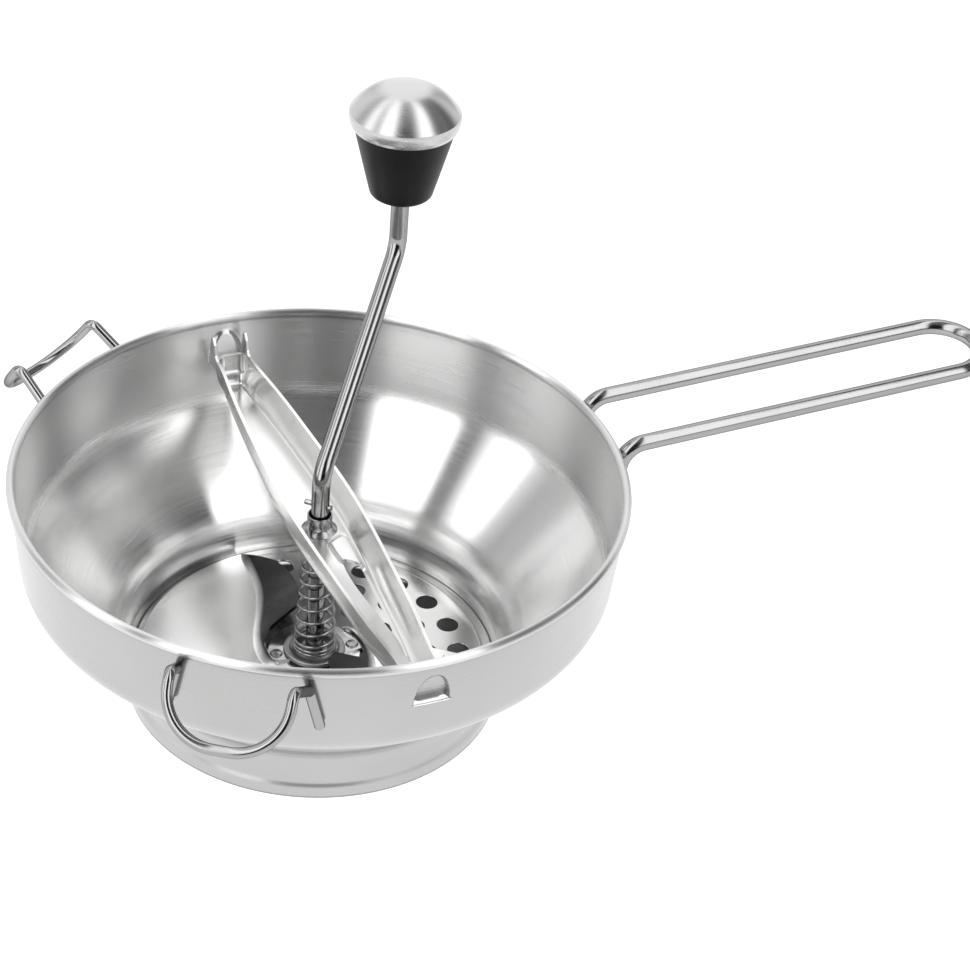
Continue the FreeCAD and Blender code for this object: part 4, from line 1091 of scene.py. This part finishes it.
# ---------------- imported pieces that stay
class MILL_OT_nodes(bpy.types.Operator):
    """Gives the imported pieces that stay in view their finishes"""

    bl_idname = "mill.nodes"
    bl_label = "Small packed pieces"

    def execute(self, context):
        for node, finish in (("blade_hub", "blade_sheet"), ("blade_rivet_a", "turned_steel"),
                             ("blade_rivet_b", "turned_steel"), ("knob_washer", "turned_steel")):
            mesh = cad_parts[node].data
            mesh.materials.clear()
            mesh.materials.append(FINISHES[finish])
        return {"FINISHED"}


# ---------------- stage
# brightness of the studio's cards by their turn in the fan, in degrees from +X
CARDS = ((-98, 0.3), (-66, 0.3), (-40, 0.9), (-12, 1.1), (0, 1.0), (5, 0.6), (13, 0.5), (18, 0.9), (22, 2.4),
         (27, 2.2), (31, 1.2), (34, 0.25), (38, 0.3), (40, 2.2), (56, 2.4), (59, 0.5), (64, 0.2), (81, 0.3),
         (87, 2.2), (100, 2.6), (101.5, 0.1), (107, 0.1), (112, 0.12), (121, 0.3), (126, 0.1), (134, 0.1),
         (142, 0.9), (151, 1.0), (163, 0.55), (200, 0.9), (240, 1.0))
# dark gaps low in the studio: turn from +X, half width and upper edge, in degrees, and how dark they are
SHADES = ((250, 22, 62, 0.9), (275, 34, 14, 0.7))


class MILL_OT_stage(bpy.types.Operator):
    """Makes the pale floor, the soft studio light and the camera"""

    bl_idname = "mill.stage"
    bl_label = "Stage"

    def execute(self, context):
        st = context.scene.mill_stage
        self.floor(context, st)
        self.studio(context, st)
        self.camera(context, st)
        context.scene.view_settings.view_transform = "Standard"
        return {"FINISHED"}

    def floor(self, context, st):
        """A wide square that glows: a painted pool of light makes it brightest close round the object, a
        little less far out, and a painted shadow leaves almost no glow under its foot."""
        reach, level, foot, near, far = 6.0, st.floor_level, (0.066, 0.068), 0.12, 0.3
        mesh = bpy.data.meshes.new("floor")
        mesh.from_pydata([(-reach, -reach, 0), (reach, -reach, 0), (reach, reach, 0), (-reach, reach, 0)], [],
                         [(0, 1, 2, 3)])
        floor = bpy.data.objects.new("floor", mesh)
        context.scene.collection.objects.link(floor)
        recipe = Recipe("floor_white")
        x, y, _ = recipe.split(recipe.spot)
        away = recipe.reach(x, y)
        # painted pool of light: brightest close round the object, fading further out
        painted_light_pool = recipe.spread(away, near, far, 1.15 * level, 0.9 * level)
        # painted shadow: almost no glow under the foot
        glow_with_painted_shadow = recipe.maths("MULTIPLY", painted_light_pool, recipe.spread(away, *foot, 0.01, 1.0))
        recipe.set(Base_Color=(0.3, 0.3, 0.3, 1), Roughness=0.9, Specular_IOR_Level=0.0,
                   Emission_Color=(1, 1, 1, 1), Emission_Strength=glow_with_painted_shadow)
        mesh.materials.append(FINISHES["floor_white"])

    def studio(self, context, st):
        """The light tent: bright and dark cards that fan out from the point of the sky that flat metal
        mirrors towards the camera. A card's place in the fan is the direction of (ray + eye) seen from
        above."""
        world = context.scene.world = bpy.data.worlds.new("studio")
        world.use_nodes = True
        nodes = Nodes(world.node_tree)
        maths = nodes.maths
        sky_x, sky_y, sky_z = nodes.split(nodes.node("ShaderNodeTexCoord").outputs["Generated"])
        eye = (Vector(st.eye) - Vector((0, 0, 0.05))).normalized()
        back = math.atan2(eye.y, eye.x)
        x, y = maths("ADD", sky_x, eye.x), maths("ADD", sky_y, eye.y)
        ahead = nodes.plane(x, y, math.cos(back), math.sin(back))
        aside = nodes.plane(y, x, math.cos(back), -math.sin(back))
        fan = maths("ADD", maths("DIVIDE", maths("ARCTAN2", aside, ahead), 2 * math.pi), 0.5)
        ramp = nodes.node("ShaderNodeValToRGB")
        nodes.feed(fan, ramp.inputs[0])
        stops = ramp.color_ramp.elements
        stops.remove(stops[1])
        for turn, level in CARDS:
            stop = stops.new((turn - math.degrees(back)) % 360 / 360)
            stop.color = (level, level, level, 1)
        stops.remove(stops[0])
        middle = nodes.spread(nodes.reach(x, y), 0.2, 0.36, interpolation_type="SMOOTHSTEP")
        level = maths("ADD", maths("MULTIPLY", ramp.outputs[0], middle),
                      maths("MULTIPLY", maths("SUBTRACT", 1.0, middle), st.middle_level))
        flat = maths("MAXIMUM", nodes.reach(sky_x, sky_y), 1e-4)
        for turn, width, top, dark in SHADES:
            turn, width, top = math.radians(turn), math.radians(width), math.sin(math.radians(top))
            toward = maths("DIVIDE", nodes.plane(sky_x, sky_y, math.cos(turn), math.sin(turn)), flat)
            inside = nodes.spread(toward, math.cos(width * 1.25), math.cos(width * 0.8),
                                  interpolation_type="SMOOTHSTEP")
            above = nodes.spread(sky_z, top * 0.85, top * 1.1, interpolation_type="SMOOTHSTEP")
            low_down = maths("MULTIPLY", inside, maths("SUBTRACT", 1.0, above))
            shade = maths("MULTIPLY", low_down, dark * st.dark_side)
            level = maths("MULTIPLY", level, maths("SUBTRACT", 1.0, shade))
        background = nodes.tree.nodes["Background"]
        nodes.feed(nodes.vector(level, level, level), background.inputs["Color"])
        nodes.feed(st.studio_level, background.inputs["Strength"])

    def camera(self, context, st):
        """The camera at the eye, turned by heading and pitch, then rolled about the line of sight."""
        data = bpy.data.cameras.new("camera")
        data.lens, data.sensor_width, data.sensor_fit = st.lens, 36.0, "AUTO"
        data.clip_start, data.clip_end = 0.01, 30.0
        camera = context.scene.camera = bpy.data.objects.new("camera", data)
        context.scene.collection.objects.link(camera)
        level = math.cos(st.pitch)
        forward = Vector((math.cos(st.heading) * level, math.sin(st.heading) * level, -math.sin(st.pitch)))
        right = forward.cross(Vector((0, 0, 1))).normalized()
        up = right.cross(forward)
        c, s = math.cos(st.roll), math.sin(st.roll)
        turn = Matrix((right * c + up * s, up * c - right * s, -forward)).transposed().to_4x4()
        camera.matrix_world = Matrix.Translation(Vector(st.eye)) @ turn


# ---------------- add-on
class MILL_PT_panel(bpy.types.Panel):
    """Lists the settings and the steps that build the food mill"""

    bl_idname = "MILL_PT_panel"
    bl_label = "Food Mill"
    bl_space_type = "VIEW_3D"
    bl_region_type = "UI"
    bl_category = "Food Mill"

    def draw(self, context):
        for group, kind in SETTINGS.items():
            box = self.layout.box()
            box.label(text=group.replace("mill_", "").capitalize())
            for name in kind.__annotations__:
                box.prop(getattr(context.scene, group), name)
        for step in STEPS:
            self.layout.operator(step.bl_idname)


SETTINGS = {"mill_bowl": BowlSettings, "mill_wires": WireSettings, "mill_bridge": BridgeSettings,
            "mill_crank": CrankSettings, "mill_blade": BladeSettings, "mill_finish": FinishSettings,
            "mill_stage": StageSettings}
STEPS = (MILL_OT_finishes, MILL_OT_stage, MILL_OT_bowl, MILL_OT_sieve, MILL_OT_wires, MILL_OT_bridge,
         MILL_OT_collar, MILL_OT_spring, MILL_OT_crank, MILL_OT_blade, MILL_OT_knob, MILL_OT_nodes)


def register():
    """Registers the settings, the operators and the panel."""
    for cls in (*SETTINGS.values(), *STEPS, MILL_PT_panel):
        bpy.utils.register_class(cls)
    for name, cls in SETTINGS.items():
        setattr(bpy.types.Scene, name, bpy.props.PointerProperty(type=cls))


def unregister():
    """Takes back what register added."""
    for name in SETTINGS:
        delattr(bpy.types.Scene, name)
    for cls in (MILL_PT_panel, *reversed(STEPS), *reversed(list(SETTINGS.values()))):
        bpy.utils.unregister_class(cls)


def main():
    """Registers the add-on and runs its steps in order."""
    register()
    for step in STEPS:
        getattr(bpy.ops.mill, step.bl_idname.split(".")[1])()


if __name__ == "__main__":
    main()
